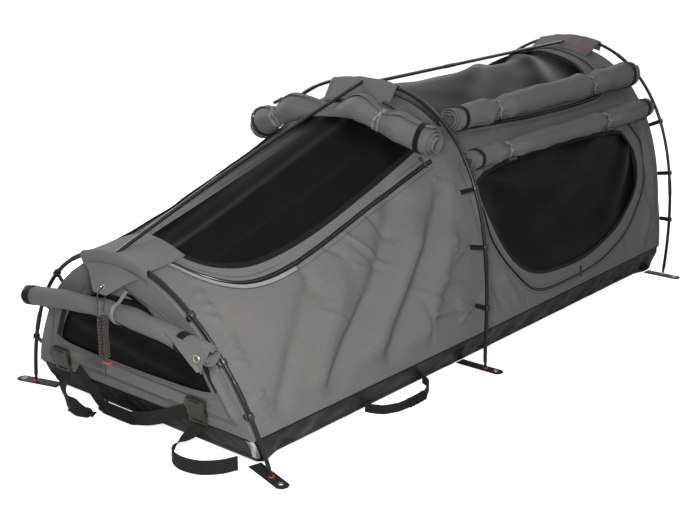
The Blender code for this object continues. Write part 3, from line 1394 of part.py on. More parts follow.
def make_foot_handle():
    """The carry handle slung across the foot end between the buckles."""
    lay = CANVAS + 2 * TOUCH_GAP + WEBBING / 2
    path = []
    for across, forward, height in FOOT_HANDLE_ROUTE:
        point = foot.place(across, height, -lay)
        path.append(np.array([across, point[1] + forward, height]))
    panel_normal = np.array([0, 1.0, -foot.lean])
    wide_ways = []
    for i in range(len(path)):
        way = path[min(i + 1, len(path) - 1)] - path[max(i - 1, 0)]
        wide_ways.append(np.cross(way, panel_normal))
    piece = handle_loft("foot_carry_handle", path, 4, 7, STRAP_WIDTH, GRIP_RADIUS, wide_ways)
    pivot = foot.place(0, FOOT_HANDLE_AXIS_HEIGHT, -lay)
    hinge_at(piece, pivot)


def make_side_handle():
    """The carry handle on the near side, lying on the ground beside the tub."""
    middle = (SIDE_HANDLE_START + SIDE_HANDLE_END) / 2
    span = SIDE_HANDLE_END - SIDE_HANDLE_START
    foot_x = BASE_WIDTH / 2 - BASE_WAIST + SIDE_HANDLE_ROOT
    path = []
    for along, out in SIDE_HANDLE_SHARES:
        path.append(np.array([foot_x + out * SIDE_HANDLE_REACH,
                              FOOT_STATION + middle + along * span / 2,
                              SIDE_GRIP_RADIUS + TOUCH_GAP]))
    wide_ways = [np.array([0, 0, 1.0])] * len(path)
    piece = handle_loft("side_carry_handle", path, 4, 6, SIDE_STRAP_WIDTH, SIDE_GRIP_RADIUS,
                        wide_ways)
    hinge_at(piece, (foot_x, FOOT_STATION + middle, 2 * SIDE_GRIP_RADIUS + TOUCH_GAP))


def make_slider(name, first, last, run, arch, pull_down):
    """A zip slider with its pull hanging down the canvas."""
    point = canvas_point(first, last, run, arch)
    normal, along, over = canvas_frame(first, last, run, arch)
    half = SLIDER_LENGTH / 2
    pull = PULL_WIDTH / 2
    wide = SLIDER_WIDTH / 2
    outline = [(-half, -wide), (-pull, -wide), (-pull, -wide - PULL_LENGTH),
               (pull, -wide - PULL_LENGTH), (pull, -wide), (half, -wide), (half, wide),
               (-half, wide)]
    frame = frame_of(point + normal * (SLIDER_SEAT + SLIDER_HEIGHT / 2), along,
                     over * pull_down)
    slider = plate(name, [outline], SLIDER_HEIGHT, frame, moulded_black)
    hinge_at(slider, frame.translation)


def make_sliders():
    run = run_between(mid, head, DOOR_SLIDER_FROM_FOOT)
    make_slider("door_zip_slider", mid, head, run, DOOR_SLIDER_SHARE, 1)
    make_slider("top_zip_slider", foot, mid, TOP_SLIDER_RUN_SHARE, TOP_SLIDER_SHARE, 1)


def main():
    make_base_tub()
    make_mattress()
    make_canvas()
    make_end_panels()
    for hoop in (foot, mid, head):
        make_hoop(hoop)
        make_peg_tab(hoop, 1)
        make_peg_tab(hoop, -1)
        for number, t in enumerate(hoop.clip_shares):
            make_hook_clip(hoop, number + 1, t)
    tube("foot_ridge_pole", ridge_path(foot, mid), POLE_DIAMETER, pole_black, 2)
    tube("head_ridge_pole", ridge_path(mid, head), POLE_DIAMETER, pole_black, 2)
    foot_clear = ridge_clearance("foot_ridge_clearance", foot, mid)
    head_clear = ridge_clearance("head_ridge_clearance", mid, head)
    make_sleeve(foot, 0.01, END_SLEEVE_REACH, SLEEVE_FRONT_DROP, 0, [foot_clear])
    make_sleeve(mid, MID_SLEEVE_FOOT_REACH, MID_SLEEVE_HEAD_REACH, 0, 0,
                [foot_clear, head_clear])
    make_sleeve(head, END_SLEEVE_REACH, 0.01, 0, SLEEVE_FRONT_DROP, [head_clear])
    make_top_roll()
    make_side_roll("skylight_roll", *SKYLIGHT_ROLL)
    make_side_roll("door_roll", *DOOR_ROLL)
    make_foot_roll()
    make_foot_roll_strap()
    make_toggles()
    make_awning()
    make_guy()
    make_buckle("left", LEFT_BUCKLE_ACROSS)
    make_buckle("right", RIGHT_BUCKLE_ACROSS)
    make_straps()
    make_foot_handle()
    make_side_handle()
    make_sliders()


main()
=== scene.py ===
# %% [markdown]
# # A swag bedroll, pitched for its picture
# A swag is a bed that rolls up: a foam mattress in a coated base, with a canvas
# tent sewn to the base. Three bowed poles and two ridge poles hold this one up, and
# its covers are rolled back. The imported model brings the sizes and the bodies that
# move; every cell below makes a piece of it anew or dresses it.

# %% Load the imported model
import math

import bpy
import numpy as np
from mathutils import Matrix, Vector


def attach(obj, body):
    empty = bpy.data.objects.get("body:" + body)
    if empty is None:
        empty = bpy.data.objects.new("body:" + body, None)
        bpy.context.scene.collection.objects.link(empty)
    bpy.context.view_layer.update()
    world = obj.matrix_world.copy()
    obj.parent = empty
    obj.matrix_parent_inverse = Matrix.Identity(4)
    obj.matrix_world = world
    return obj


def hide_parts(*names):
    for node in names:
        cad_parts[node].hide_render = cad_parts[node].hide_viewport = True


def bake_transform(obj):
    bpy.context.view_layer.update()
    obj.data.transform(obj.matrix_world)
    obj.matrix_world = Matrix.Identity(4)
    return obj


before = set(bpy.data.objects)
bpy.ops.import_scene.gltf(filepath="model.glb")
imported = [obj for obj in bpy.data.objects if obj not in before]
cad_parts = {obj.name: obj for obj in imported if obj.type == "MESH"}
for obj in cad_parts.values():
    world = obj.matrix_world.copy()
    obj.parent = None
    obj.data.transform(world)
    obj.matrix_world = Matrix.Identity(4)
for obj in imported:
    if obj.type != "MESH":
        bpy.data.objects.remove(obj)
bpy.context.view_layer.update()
bpy.ops.object.select_all(action="DESELECT")

# %% [markdown]
# The camera comes first, because everything is judged through it. The poles give good
# straight measures, so its place was solved from their ends, not set by eye, and is
# written as a place, a turn and a focal length in pixels.

# %% Camera
CAMERA_PLACE = (2.216, -2.8707, 1.2959)
CAMERA_TURN_DEG = (73.144, 0.0, 39.92)
FOCAL_PIXELS = 1162.9
PICTURE_WIDTH = 700
bpy.ops.object.camera_add(location=CAMERA_PLACE,
                          rotation=[math.radians(turn) for turn in CAMERA_TURN_DEG])
camera = bpy.context.object
camera.data.lens = camera.data.sensor_width * FOCAL_PIXELS / PICTURE_WIDTH
bpy.context.scene.camera = camera
bpy.context.scene.view_settings.view_transform = "Standard"
print("lens", round(camera.data.lens, 2), "mm")

# %% [markdown]
# Node trees are long to write out, so one small helper adds a node, sets it and
# wires its inputs, and a few more name what every finish here needs: a noise, a wave,
# a straight line through a value. Only what varies over the surface is wired.

# %% Node helpers
def node(tree, kind, inputs=(), **settings):
    """A new node; an input given as a socket is linked, any other value is set."""
    made = tree.nodes.new("ShaderNode" + kind)
    for name, value in settings.items():
        setattr(made, name, value)
    for name, value in dict(inputs).items():
        if isinstance(value, bpy.types.NodeSocket):
            tree.links.new(value, made.inputs[name])
        else:
            made.inputs[name].default_value = value
    return made


def math_node(tree, operation, first, second=0.0, third=0.5):
    sockets = {0: first, 1: second, 2: third}
    return node(tree, "Math", sockets, operation=operation).outputs[0]


def line_through(tree, value, slope, base):
    return math_node(tree, "MULTIPLY_ADD", value, slope, base)


def noise(tree, scale, detail):
    """Noise on the object's own coordinates."""
    place = node(tree, "TexCoord").outputs["Object"]
    return node(tree, "TexNoise", {"Vector": place, "Scale": scale, "Detail": detail}).outputs[0]


def flat_place(tree):
    """X and Y of the piece's own UV map, in metres."""
    uv = node(tree, "SeparateXYZ", {0: node(tree, "TexCoord").outputs["UV"]}).outputs
    return uv["X"], uv["Y"]


def new_finish(name, color, roughness, **sockets):
    material = bpy.data.materials.new(name)
    material.use_nodes = True
    tree = material.node_tree
    shader = tree.nodes["Principled BSDF"]
    shader.inputs["Base Color"].default_value = (*color, 1)
    shader.inputs["Roughness"].default_value = roughness
    for socket, value in sockets.items():
        shader.inputs[socket.replace("_", " ")].default_value = value
    return material, tree, shader


def waves(tree, coordinate, pitch):
    """A sine along one coordinate, one wave in each pitch, from -1 to 1."""
    turns = math_node(tree, "MULTIPLY", coordinate, 2 * math.pi / pitch)
    return math_node(tree, "SINE", turns)


def wire_tone(tree, shader, color, tone):
    """Colour times a tone round 1."""
    shade = node(tree, "HueSaturation", {"Value": tone, "Color": (*color, 1)})
    tree.links.new(shade.outputs[0], shader.inputs["Base Color"])


def wire_roughness(tree, shader, patches, first, low, high):
    """Roughness from low to high, as the patches' value goes from first to 0.7."""
    rough = node(tree, "MapRange", {0: patches, 1: first, 2: 0.7, 3: low, 4: high})
    tree.links.new(rough.outputs[0], shader.inputs["Roughness"])


def wire_bump(tree, shader, height, strength, distance):
    bump = node(tree, "Bump", {"Height": height, "Strength": strength, "Distance": distance})
    tree.links.new(bump.outputs[0], shader.inputs["Normal"])


# %% [markdown]
# The picture has a white ground, so the world is white only to the camera and to
# mirror rays, and lights the cloth at a plain level. The floor adds a little white
# for the camera and still takes the shadow. Folds show only in raking light, so the
# key is a small lamp low at the foot end; a weak one fills from above, and two wide
# ones light the far side and the head end.

# %% Studio
WORLD_LEVEL = 0.20
WHITE = (1, 1, 1, 1)
world = bpy.data.worlds.new("studio")
bpy.context.scene.world = world
world.use_nodes = True
tree = world.node_tree
tree.nodes.clear()
path = node(tree, "LightPath").outputs
seen = math_node(tree, "MAXIMUM", path["Is Camera Ray"], path["Is Glossy Ray"])
seen = math_node(tree, "MAXIMUM", seen, path["Is Transmission Ray"])
lit = node(tree, "Background", {"Color": WHITE, "Strength": WORLD_LEVEL})
white = node(tree, "Background", {"Color": WHITE, "Strength": 1.0})
choice = node(tree, "MixShader", {0: seen, 1: lit.outputs[0], 2: white.outputs[0]})
node(tree, "OutputWorld", {"Surface": choice.outputs[0]})

FLOOR_SIZE = 60.0
FLOOR_DROP = 0.0005
FLOOR_GLOW = 0.86
FLOOR_GREY = (0.72, 0.72, 0.72)
bpy.ops.mesh.primitive_plane_add(size=FLOOR_SIZE, location=(0, 0, -FLOOR_DROP))
floor = bpy.context.object
floor.name = "studio_floor"
paint, tree, shader = new_finish("floor_paint", FLOOR_GREY, 0.9)
path = node(tree, "LightPath").outputs
glow = node(tree, "Emission", {"Color": WHITE, "Strength": FLOOR_GLOW})
unlit = node(tree, "Emission", {"Color": (0, 0, 0, 1), "Strength": 0.0})
choice = node(tree, "MixShader", {0: path["Is Camera Ray"], 1: unlit.outputs[0],
                                  2: glow.outputs[0]})
both = node(tree, "AddShader", {0: shader.outputs[0], 1: choice.outputs[0]})
tree.links.new(both.outputs[0], tree.nodes["Material Output"].inputs["Surface"])
floor.data.materials.append(paint)

# Each square lamp's place, what it faces, its size and its power.
SOFTBOXES = {
    "key": ((1.5, -2.05, 1.15), (0.3, -0.5, 0.35), 0.45, 40),
    "fill": ((1.6, 0.2, 3.2), (0.1, 0.2, 0.6), 0.8, 10),
    "far": ((-2.9, -0.2, 2.1), (0, 0, 0.3), 1.8, 80),
    "head": ((-0.5, 3.8, 1.7), (0, 0.6, 0.4), 1.6, 28)}
for name, (place, aim, size, watts) in SOFTBOXES.items():
    turn = (Vector(aim) - Vector(place)).to_track_quat("-Z", "Y").to_euler()
    bpy.ops.object.light_add(type="AREA", location=place, rotation=turn)
    lamp = bpy.context.object
    lamp.name = lamp.data.name = name + "_softbox"
    lamp.data.size = size
    lamp.data.energy = watts
print(len(SOFTBOXES), "softboxes")

# %% [markdown]
# Canvas is a plain weave of coated polyester and cotton. A weave is two sines at right
# angles, so nodes draw it on the piece's own UV map, which every piece here keeps in
# metres. Clouds of tone and fibre speckle keep it from looking like card.

# %% Canvas finish
WEAVE_PITCH = 0.0016
RIPSTOP_PITCH = 0.0090
RIPSTOP_POWER = 24
CLOUD_TONE = 0.16
GRAIN_TONE = 0.55
THREAD_TONE = 0.05
CANVAS_GREY = (0.150, 0.149, 0.147)
# The mattress ticking's dark grey is partly its own colour and partly painted shade: it stands in
# for the shade inside the tent that shows through the nets.
TICKING_GREY_AND_PAINTED_SHADE = (0.030, 0.030, 0.031)


def canvas_finish(name, color):
    material, tree, shader = new_finish(name, color, 0.85, Sheen_Weight=0.06,
                                        Sheen_Roughness=0.6, Specular_IOR_Level=0.12)
    x, y = flat_place(tree)
    weave = math_node(tree, "MULTIPLY", waves(tree, x, WEAVE_PITCH),
                      waves(tree, y, WEAVE_PITCH))
    rip = math_node(tree, "MAXIMUM", waves(tree, x, RIPSTOP_PITCH),
                    waves(tree, y, RIPSTOP_PITCH))
    rip = math_node(tree, "POWER", math_node(tree, "MAXIMUM", rip, 0.0), RIPSTOP_POWER)
    speckle = noise(tree, 330.0, 2.0)
    grain = math_node(tree, "SUBTRACT", speckle, 0.5)
    tone = line_through(tree, noise(tree, 4.0, 5.0), CLOUD_TONE, 1.0 - CLOUD_TONE * 0.5)
    for pattern, strength in ((weave, THREAD_TONE), (grain, GRAIN_TONE), (rip, THREAD_TONE)):
        tone = line_through(tree, pattern, strength, tone)
    wire_tone(tree, shader, color, tone)
    wire_bump(tree, shader, line_through(tree, speckle, 2.0, weave), 0.30, 0.0005)
    return material


canvas_grey = canvas_finish("canvas_grey", CANVAS_GREY)
ticking_grey_and_painted_shade = canvas_finish("ticking_grey_and_painted_shade", TICKING_GREY_AND_PAINTED_SHADE)
print("canvas weave", WEAVE_PITCH * 1000, "mm")

# %% [markdown]
# The base cloth is a heavy coated fabric: black, a little shiny, with an oxford
# texture under the coating and scuffs that catch the light. Its big wrinkles are
# modelled; the nodes add only the small ones.

# %% Coated base cloth
def coated_finish(name, color, roughness):
    material, tree, shader = new_finish(name, color, roughness, Specular_IOR_Level=0.24)
    scuff = noise(tree, 9.0, 6.0)
    wire_roughness(tree, shader, scuff, 0.35, roughness - 0.10, roughness + 0.14)
    wire_tone(tree, shader, color, line_through(tree, scuff, 0.5, 0.75))
    place = node(tree, "TexCoord").outputs["Object"]
    oxford = node(tree, "TexVoronoi", {"Vector": place, "Scale": 700.0}).outputs[0]
    height = line_through(tree, noise(tree, 60.0, 3.0), 3.0, oxford)
    wire_bump(tree, shader, height, 0.35, 0.0008)
    return material


base_black = coated_finish("base_black", (0.010, 0.010, 0.010), 0.42)

# %% [markdown]
# Insect mesh is a black net with holes of about a millimetre. Cutting the holes would
# take millions of faces, so the nodes make the threads solid and the holes clear, in
# the grid of the UV map, and the cloth keeps its modelled folds.

# %% Insect mesh finish
NET_PITCH = 0.0014
NET_HOLE = 0.42


def net_finish(name, color):
    material, tree, shader = new_finish(name, color, 0.50, Sheen_Weight=0.14,
                                        Sheen_Roughness=0.30, Specular_IOR_Level=0.05)
    hole = [math_node(tree, "GREATER_THAN", waves(tree, way, NET_PITCH), NET_HOLE)
            for way in flat_place(tree)]
    thread = math_node(tree, "SUBTRACT", 1.0, math_node(tree, "MULTIPLY", *hole))
    tree.links.new(thread, shader.inputs["Alpha"])
    wire_tone(tree, shader, color, line_through(tree, noise(tree, 7.0, 3.0), 0.8, 0.6))
    return material


net_black = net_finish("net_black", (0.0055, 0.0055, 0.0055))

# %% [markdown]
# Webbing shows ribs across its length, which follow U of the UV map. Poles are black
# coated tube, and the moulded parts are nylon with a fine spark texture.

# %% Webbing, tape, pole and moulded finishes
CORD_PITCHES = 1.7


def ribbed_finish(name, color, roughness, pitch, depth):
    """Ribs across the length, and weaker cords along it."""
    material, tree, shader = new_finish(name, color, roughness, Sheen_Weight=0.02,
                                        Specular_IOR_Level=0.14)
    x, y = flat_place(tree)
    weave = line_through(tree, waves(tree, y, pitch * CORD_PITCHES), 0.5, waves(tree, x, pitch))
    tone = line_through(tree, noise(tree, 40.0, 4.0), 0.5, 0.75)
    wire_tone(tree, shader, color, line_through(tree, weave, 0.10, tone))
    wire_bump(tree, shader, weave, 0.5, depth)
    return material


def smooth_finish(name, color, roughness, metallic, scale, depth, **sockets):
    """Moulded or drawn parts: a fine texture and patchy roughness."""
    material, tree, shader = new_finish(name, color, roughness, Metallic=metallic, **sockets)
    wear = noise(tree, 22.0, 4.0)
    wire_roughness(tree, shader, wear, 0.3, roughness * 0.8, roughness * 1.25)
    wire_tone(tree, shader, color, line_through(tree, wear, 0.4, 0.8))
    wire_bump(tree, shader, noise(tree, scale, 2.0), 0.25, depth)
    return material


webbing_black, webbing_grey, tape_black, binding_black, stitch_grey = (
    ribbed_finish(*row) for row in (
        ("webbing_black", (0.015, 0.015, 0.014), 0.70, 0.0022, 0.0004),
        ("webbing_grey", (0.27, 0.275, 0.285), 0.60, 0.0016, 0.0003),
        ("tape_black", (0.005, 0.005, 0.005), 0.62, 0.0014, 0.0002),
        ("binding_black", (0.007, 0.007, 0.007), 0.75, 0.0018, 0.0003),
        ("stitch_grey", (0.070, 0.070, 0.068), 0.80, 0.0040, 0.0006)))
pole_black = smooth_finish("pole_black", (0.010, 0.010, 0.011), 0.34, 0.0, 300.0, 0.00001,
                           Specular_IOR_Level=0.30)
moulded_black, runner_red, eyelet_metal, buckle_olive, teeth_black, silver_strip = (
    smooth_finish(*row) for row in (
        ("moulded_black", (0.013, 0.013, 0.013), 0.36, 0.0, 900.0, 0.0001),
        ("runner_red", (0.62, 0.035, 0.020), 0.40, 0.0, 700.0, 0.0001),
        ("eyelet_metal", (0.42, 0.36, 0.28), 0.30, 1.0, 500.0, 0.00005),
        ("buckle_olive", (0.030, 0.031, 0.026), 0.42, 0.0, 900.0, 0.0001),
        ("teeth_black", (0.010, 0.009, 0.009), 0.30, 0.0, 800.0, 0.0001),
        ("silver_strip", (0.62, 0.63, 0.64), 0.28, 0.7, 120.0, 0.0006)))
print(len(bpy.data.materials), "finishes")

# %% [markdown]
# Cloth starts as a grid. Blender's grid primitive brings even faces and a UV map, so
# one helper adds it, puts each point where a function of (u, v) says, and stretches
# the UV map to metres. The same grid, wrapped until its edges meet, makes tubes, and
# a line along a route makes ribbons.

# %% Grid helpers
def select_only(piece):
    bpy.ops.object.select_all(action="DESELECT")
    piece.select_set(True)
    bpy.context.view_layer.objects.active = piece


def apply_modifier(piece, kind, **settings):
    select_only(piece)
    modifier = piece.modifiers.new(kind.title(), kind)
    for name, value in settings.items():
        setattr(modifier, name, value)
    bpy.ops.object.modifier_apply(modifier=modifier.name)


def mesh_points(piece):
    flat = np.empty(len(piece.data.vertices) * 3, np.float32)
    piece.data.vertices.foreach_get("co", flat)
    return flat.reshape(-1, 3).astype(float)


def set_points(piece, points):
    piece.data.vertices.foreach_set("co", np.asarray(points, np.float32).ravel())
    piece.data.update()


def laid_grid(name, columns, rows, place, size):
    """A grid whose points are at place(u, v), u and v from 0 to 1, UV map in metres."""
    bpy.ops.object.select_all(action="DESELECT")
    bpy.ops.mesh.primitive_grid_add(x_subdivisions=columns, y_subdivisions=rows, size=2)
    piece = bpy.context.object
    piece.name = piece.data.name = name
    share = (mesh_points(piece) + 1) / 2
    set_points(piece, place(share[:, 0], share[:, 1]))
    layer = piece.data.uv_layers.active
    uv = np.empty(len(layer.data) * 2, np.float32)
    layer.data.foreach_get("uv", uv)
    uv = uv.reshape(-1, 2) * np.array(size)
    layer.data.foreach_set("uv", uv.astype(np.float32).ravel())
    return piece


def edit(piece, *steps):
    """Edit mode operators on the whole piece, each given as (operator, settings)."""
    select_only(piece)
    bpy.ops.object.mode_set(mode="EDIT")
    for operator, settings in steps:
        operator(**settings)
    bpy.ops.object.mode_set(mode="OBJECT")


ops = bpy.ops.mesh
SELECT_ALL = (ops.select_all, {"action": "SELECT"})
FACE_OUT = (ops.normals_make_consistent, {"inside": False})
CAP_ENDS = (ops.fill_holes, {"sides": 0})
WELD_REACH = 1e-6


def weld(piece, *more):
    """Joins the points that meet, does more where asked, and turns the faces outwards."""
    edit(piece, SELECT_ALL, (ops.remove_doubles, {"threshold": WELD_REACH}), *more, SELECT_ALL,
         FACE_OUT)


def thicken(piece, thickness, offset=0.0):
    apply_modifier(piece, "SOLIDIFY", thickness=thickness, offset=offset)


# %% Path helpers
STEPS_A_SPAN = 24
TINY = 1e-12
ACROSS, ALONG, UP = np.eye(3)


def unit(ways):
    return ways / np.maximum(np.linalg.norm(ways, axis=-1, keepdims=True), TINY)


def smooth_path(points, count):
    """Even steps along a smooth curve through chosen points, in any number of columns."""
    points = np.asarray(points, float)
    ends = 2 * points[0] - points[1], 2 * points[-1] - points[-2]
    padded = np.vstack((ends[0], points, ends[1]))
    t = np.linspace(0, 1, STEPS_A_SPAN, endpoint=False)[:, None]
    fine = [0.5 * (2 * b + (c - a) * t + (2 * a - 5 * b + 4 * c - d) * t ** 2
                   + (3 * b - a - 3 * c + d) * t ** 3)
            for a, b, c, d in zip(padded, padded[1:], padded[2:], padded[3:])]
    return at_stops(np.vstack((*fine, points[-1])), count)


def walked_along(path):
    """How far along its path each point is."""
    return np.concatenate(([0], np.cumsum(np.linalg.norm(np.diff(path, axis=0), axis=1))))


def at_stops(path, count):
    """A path's columns at even steps along its first three."""
    walked = walked_along(path[:, :3])
    stops = np.linspace(0, walked[-1], count)
    return np.stack([np.interp(stops, walked, column) for column in path.T], axis=1)


def path_length(path):
    return float(np.linalg.norm(np.diff(path, axis=0), axis=1).sum())


def square_to(ways, sides):
    """The part of each side direction that is square to its way, of unit length."""
    return unit(sides - ways * (sides * ways).sum(axis=1, keepdims=True))


def path_sides(path):
    """Side and up directions carried along a path without twisting."""
    ways = unit(np.gradient(path, axis=0))
    side = np.cross(ways[0], UP)
    if np.linalg.norm(side) < 1e-3:
        side = ACROSS
    sides = []
    for way in ways:
        side = unit(side - way * np.dot(side, way))
        sides.append(side)
    sides = np.array(sides)
    return sides, np.cross(sides, ways)


def in_metres(*rows):
    """A table that is written in millimetres."""
    return [tuple(value / 1000 for value in row) for row in rows]


def at_index(share, count):
    return np.rint(share * (count - 1)).astype(int)


# %% Tubes, ribbons and dressing
def tube(name, path, radius, sides=12, caps=True):
    """A smooth round bar or cord along a path; radius is one number or one a point."""
    path = np.asarray(path, float)
    side, up = path_sides(path)
    radius = np.broadcast_to(radius, len(path))

    def place(u, v):
        i = at_index(u, len(path))
        turn = 2 * math.pi * v[:, None]
        out = side[i] * np.cos(turn) + up[i] * np.sin(turn)
        return path[i] + out * radius[i][:, None]

    size = (path_length(path), 2 * math.pi * float(radius.max()))
    piece = laid_grid(name, len(path) - 1, sides, place, size)
    weld(piece, *([CAP_ENDS] if caps else []))
    return piece


def ribbon(name, path, wide, thickness, rows=3):
    """Flat webbing or tape along a path; wide is the half width vector at each point."""
    path = np.asarray(path, float)
    wide = np.broadcast_to(wide, path.shape)

    def place(u, v):
        i = at_index(u, len(path))
        return path[i] + wide[i] * (2 * v - 1)[:, None]

    size = (path_length(path), 2 * float(np.linalg.norm(wide, axis=1).mean()))
    piece = laid_grid(name, len(path) - 1, rows, place, size)
    thicken(piece, thickness)
    return piece


def dress(piece, material, body="root", replaces=(), angle_deg=35):
    """Finish, shading, the body that it rides on, and the nodes that it stands for."""
    piece.data.materials.clear()
    piece.data.materials.append(material)
    select_only(piece)
    bpy.ops.object.shade_smooth_by_angle(angle=math.radians(angle_deg))
    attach(piece, body)
    if replaces:
        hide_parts(*replaces)
    return piece


# %% [markdown]
# The guy is the one free cord: it leaves the eyelet of the small awning and is wound
# into a hank of five loops with a red runner below it. Its flecked colour must follow
# it, so it is a mesh tube with its own UV map and not a bevelled curve. Its route is
# the imported model's: the loops are stadiums with a waist, the free runs listed.

# %% The guy cord
FOOT_STATION = -1.070
CORD_DIAMETER = 0.0030
HANK_LOOPS = 5
HANK_LOOP_POINTS = 24
HANK_HEIGHT = 0.118
HANK_WIDTH = 0.025
HANK_STEP = 0.0038
HANK_WAIST_SHARE = 0.72
HANK_TOP = 0.337
HANK_BACK = -0.0990
FLECK_PITCHES = (0.0110, 0.0150)
PALE_FLECKS = 0.07
RED_FLECKS = 0.03
GUY_TAIL_ROUTE = in_metres(
    (-17.2, -97.2, 168), (-15.7, -97.2, 183), (-14.2, -97.2, 198), (-12.7, -97.2, 213),
    (-11.2, -97.2, 228), (-9.2, -97.2, 250))
GUY_RISE_ROUTE = in_metres(
    (-7.3, -119.6, 298), (-5.2, -120.6, 316), (-3.8, -120.6, 334), (-3, -119.6, 352),
    (-3.6, -118.2, 368), (-4.2, -117.5, 382), (-4, -115.6, 391.3), (-3, -109.4, 400.6),
    (-2, -106.7, 404.4), (-1, -104.1, 406.2), (0, -100.8, 406.2), (0.8, -98.2, 403.8),
    (1.6, -97, 399), (2.2, -97, 390), (2.6, -99, 379), (3, -101.8, 367), (2.8, -104, 356),
    (2.4, -105.2, 347))


def hank_loop_point(turns):
    """A point on the hank's stadium loops, started half way up the left side."""
    radius = (HANK_WIDTH - CORD_DIAMETER) / 2
    straight = HANK_HEIGHT - HANK_WIDTH
    bend = math.pi * radius
    way = (turns % 1) * 2 * (straight + bend)
    stretches = (straight / 2, bend, straight, bend, straight / 2)
    starts = np.cumsum((0, *stretches[:-1]))
    up, over, down, under, last = np.clip(way - starts, 0, stretches)
    angle = (over + under) / radius
    across, height = -radius * math.cos(angle), up - down + last + radius * math.sin(angle)
    waist = 1 - (1 - HANK_WAIST_SHARE) * math.cos(math.pi * height / HANK_HEIGHT) ** 2
    return np.array([across * waist, -turns * HANK_STEP, height])


def hand_run(route, joined_to):
    """A smooth run through a route's points and the loop point that it joins."""
    points = [np.array([x, FOOT_STATION + y, z]) for x, y, z in route]
    points = [joined_to, *points] if route is GUY_RISE_ROUTE else [*points, joined_to]
    padded = [2 * points[0] - points[1], *points, 2 * points[-1] - points[-2]]
    run = []
    for a, b, c, d in zip(padded, padded[1:], padded[2:], padded[3:]):
        run += [b, (9 * (b + c) - a - d) / 16]
    return run + [points[-1]]


def guy_points():
    """From the knot at the eyelet, down the rise, round the loops, to the tail."""
    origin = np.array([0, FOOT_STATION + HANK_BACK, HANK_TOP - HANK_HEIGHT / 2])
    laps = np.linspace(0, HANK_LOOPS, HANK_LOOPS * HANK_LOOP_POINTS + 1)
    loops = [origin + hank_loop_point(turns) for turns in laps]
    tail = hand_run(GUY_TAIL_ROUTE, loops[0])[:-1]
    rise = hand_run(GUY_RISE_ROUTE, loops[-1])[1:]
    return np.array(tail + loops + rise)[::-1]


# %% Its flecked sheath
def cord_finish():
    """A black sheath with red and pale flecks, laid in a slant round the cord."""
    material, tree, shader = new_finish("guy_cord", (0.02, 0.02, 0.02), 0.72,
                                        Sheen_Weight=0.15)
    x, y = flat_place(tree)
    slant, counter = math_node(tree, "ADD", x, y), math_node(tree, "SUBTRACT", x, y)
    strands = math_node(tree, "MULTIPLY", waves(tree, slant, FLECK_PITCHES[0]),
                        waves(tree, counter, FLECK_PITCHES[1]))
    ramp = node(tree, "ValToRGB", {0: line_through(tree, strands, 0.5, 0.5)})
    ramp.color_ramp.interpolation = "CONSTANT"
    pale, black = ramp.color_ramp.elements
    pale.color = (0.36, 0.27, 0.23, 1)
    black.position, black.color = PALE_FLECKS, (0.008, 0.008, 0.008, 1)
    ramp.color_ramp.elements.new(1 - RED_FLECKS).color = (0.42, 0.020, 0.018, 1)
    tree.links.new(ramp.outputs[0], shader.inputs["Base Color"])
    wire_bump(tree, shader, strands, 0.6, 0.0003)
    return material


guy_path = guy_points()
guy_length = path_length(guy_path)
guy = dress(tube("guy_line", guy_path, CORD_DIAMETER / 2, 10), cord_finish(),
            "awning", ["guy_hank"], 60)
print("guy", round(guy_length, 3), "m")

# %% [markdown]
# The tent's shape hangs on three hoops. Each is a Bezier arch in a leaning plane, in
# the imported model's sizes, and the canvas section lies a little inside it. Everything
# on the cloth is placed by two shares: run, along the bed from one hoop to the next,
# and arch, over it from seam to seam. A crease is a dent along a line on the wall, and
# slow ripples keep the rest from looking ironed.

# %% Hoops and canvas sections
POLE_RADIUS = 0.0055
CANVAS = 0.0015
INSET_STATION_SHARES = (0.0, 0.18, 0.62, 1.0)
ARCH_SAMPLES = np.linspace(0, 1, 401)


class Hoop:
    """A half hoop in a leaning plane, and the canvas section drawn inside it."""

    def __init__(self, station, width, height, draw_in, rise, crown_half, lean, seam, insets):
        self.station = station
        self.height = height
        self.lean = lean
        self.insets = insets
        half = width / 2
        self.cage = np.array([(half, 0), (half - draw_in, rise), (crown_half, height),
                              (0, height)])
        curve = self.at(ARCH_SAMPLES)
        first = int(np.argmax(curve[:, 1] >= seam))
        walked = walked_along(curve[first:])
        self.share_table = walked / walked[-1]
        self.t_table = ARCH_SAMPLES[first:]

    def at(self, t):
        """Across and height of the pole's centre line, foot of the leg to crown."""
        t = np.asarray(t, float)[..., None]
        a, b, c, d = self.cage
        return ((1 - t) ** 3 * a + 3 * (1 - t) ** 2 * t * b
                + 3 * (1 - t) * t ** 2 * c + t ** 3 * d)

    def slope(self, t):
        """The pole's way at t, from the foot of the leg to the crown."""
        t = np.asarray(t, float)[..., None]
        a, b, c, d = self.cage
        return unit((1 - t) ** 2 * (b - a) + 2 * (1 - t) * t * (c - b) + t ** 2 * (d - c))

    def outward(self, t):
        way = self.slope(t)
        return np.stack((way[..., 1], -way[..., 0]), axis=-1)

    def place(self, across, height, forward=0.0):
        """Points of the leaning plane as places in the frame."""
        across, height, forward = np.broadcast_arrays(across, height, forward)
        return np.stack((across, self.station + self.lean * height + forward, height),
                        axis=-1)

    def canvas(self, share):
        """The canvas under the hoop: share 0 at the base seam, 1 at the ridge."""
        t = np.interp(share, self.share_table, self.t_table)
        inset = np.interp(share, INSET_STATION_SHARES, self.insets)
        flat = self.at(t) - inset[..., None] * self.outward(t)
        return self.place(np.maximum(flat[..., 0], 0), flat[..., 1])

    def t_at(self, across):
        """The hoop's own share where it is that far from the middle."""
        return np.interp(-np.abs(across), -self.at(ARCH_SAMPLES)[:, 0], ARCH_SAMPLES)


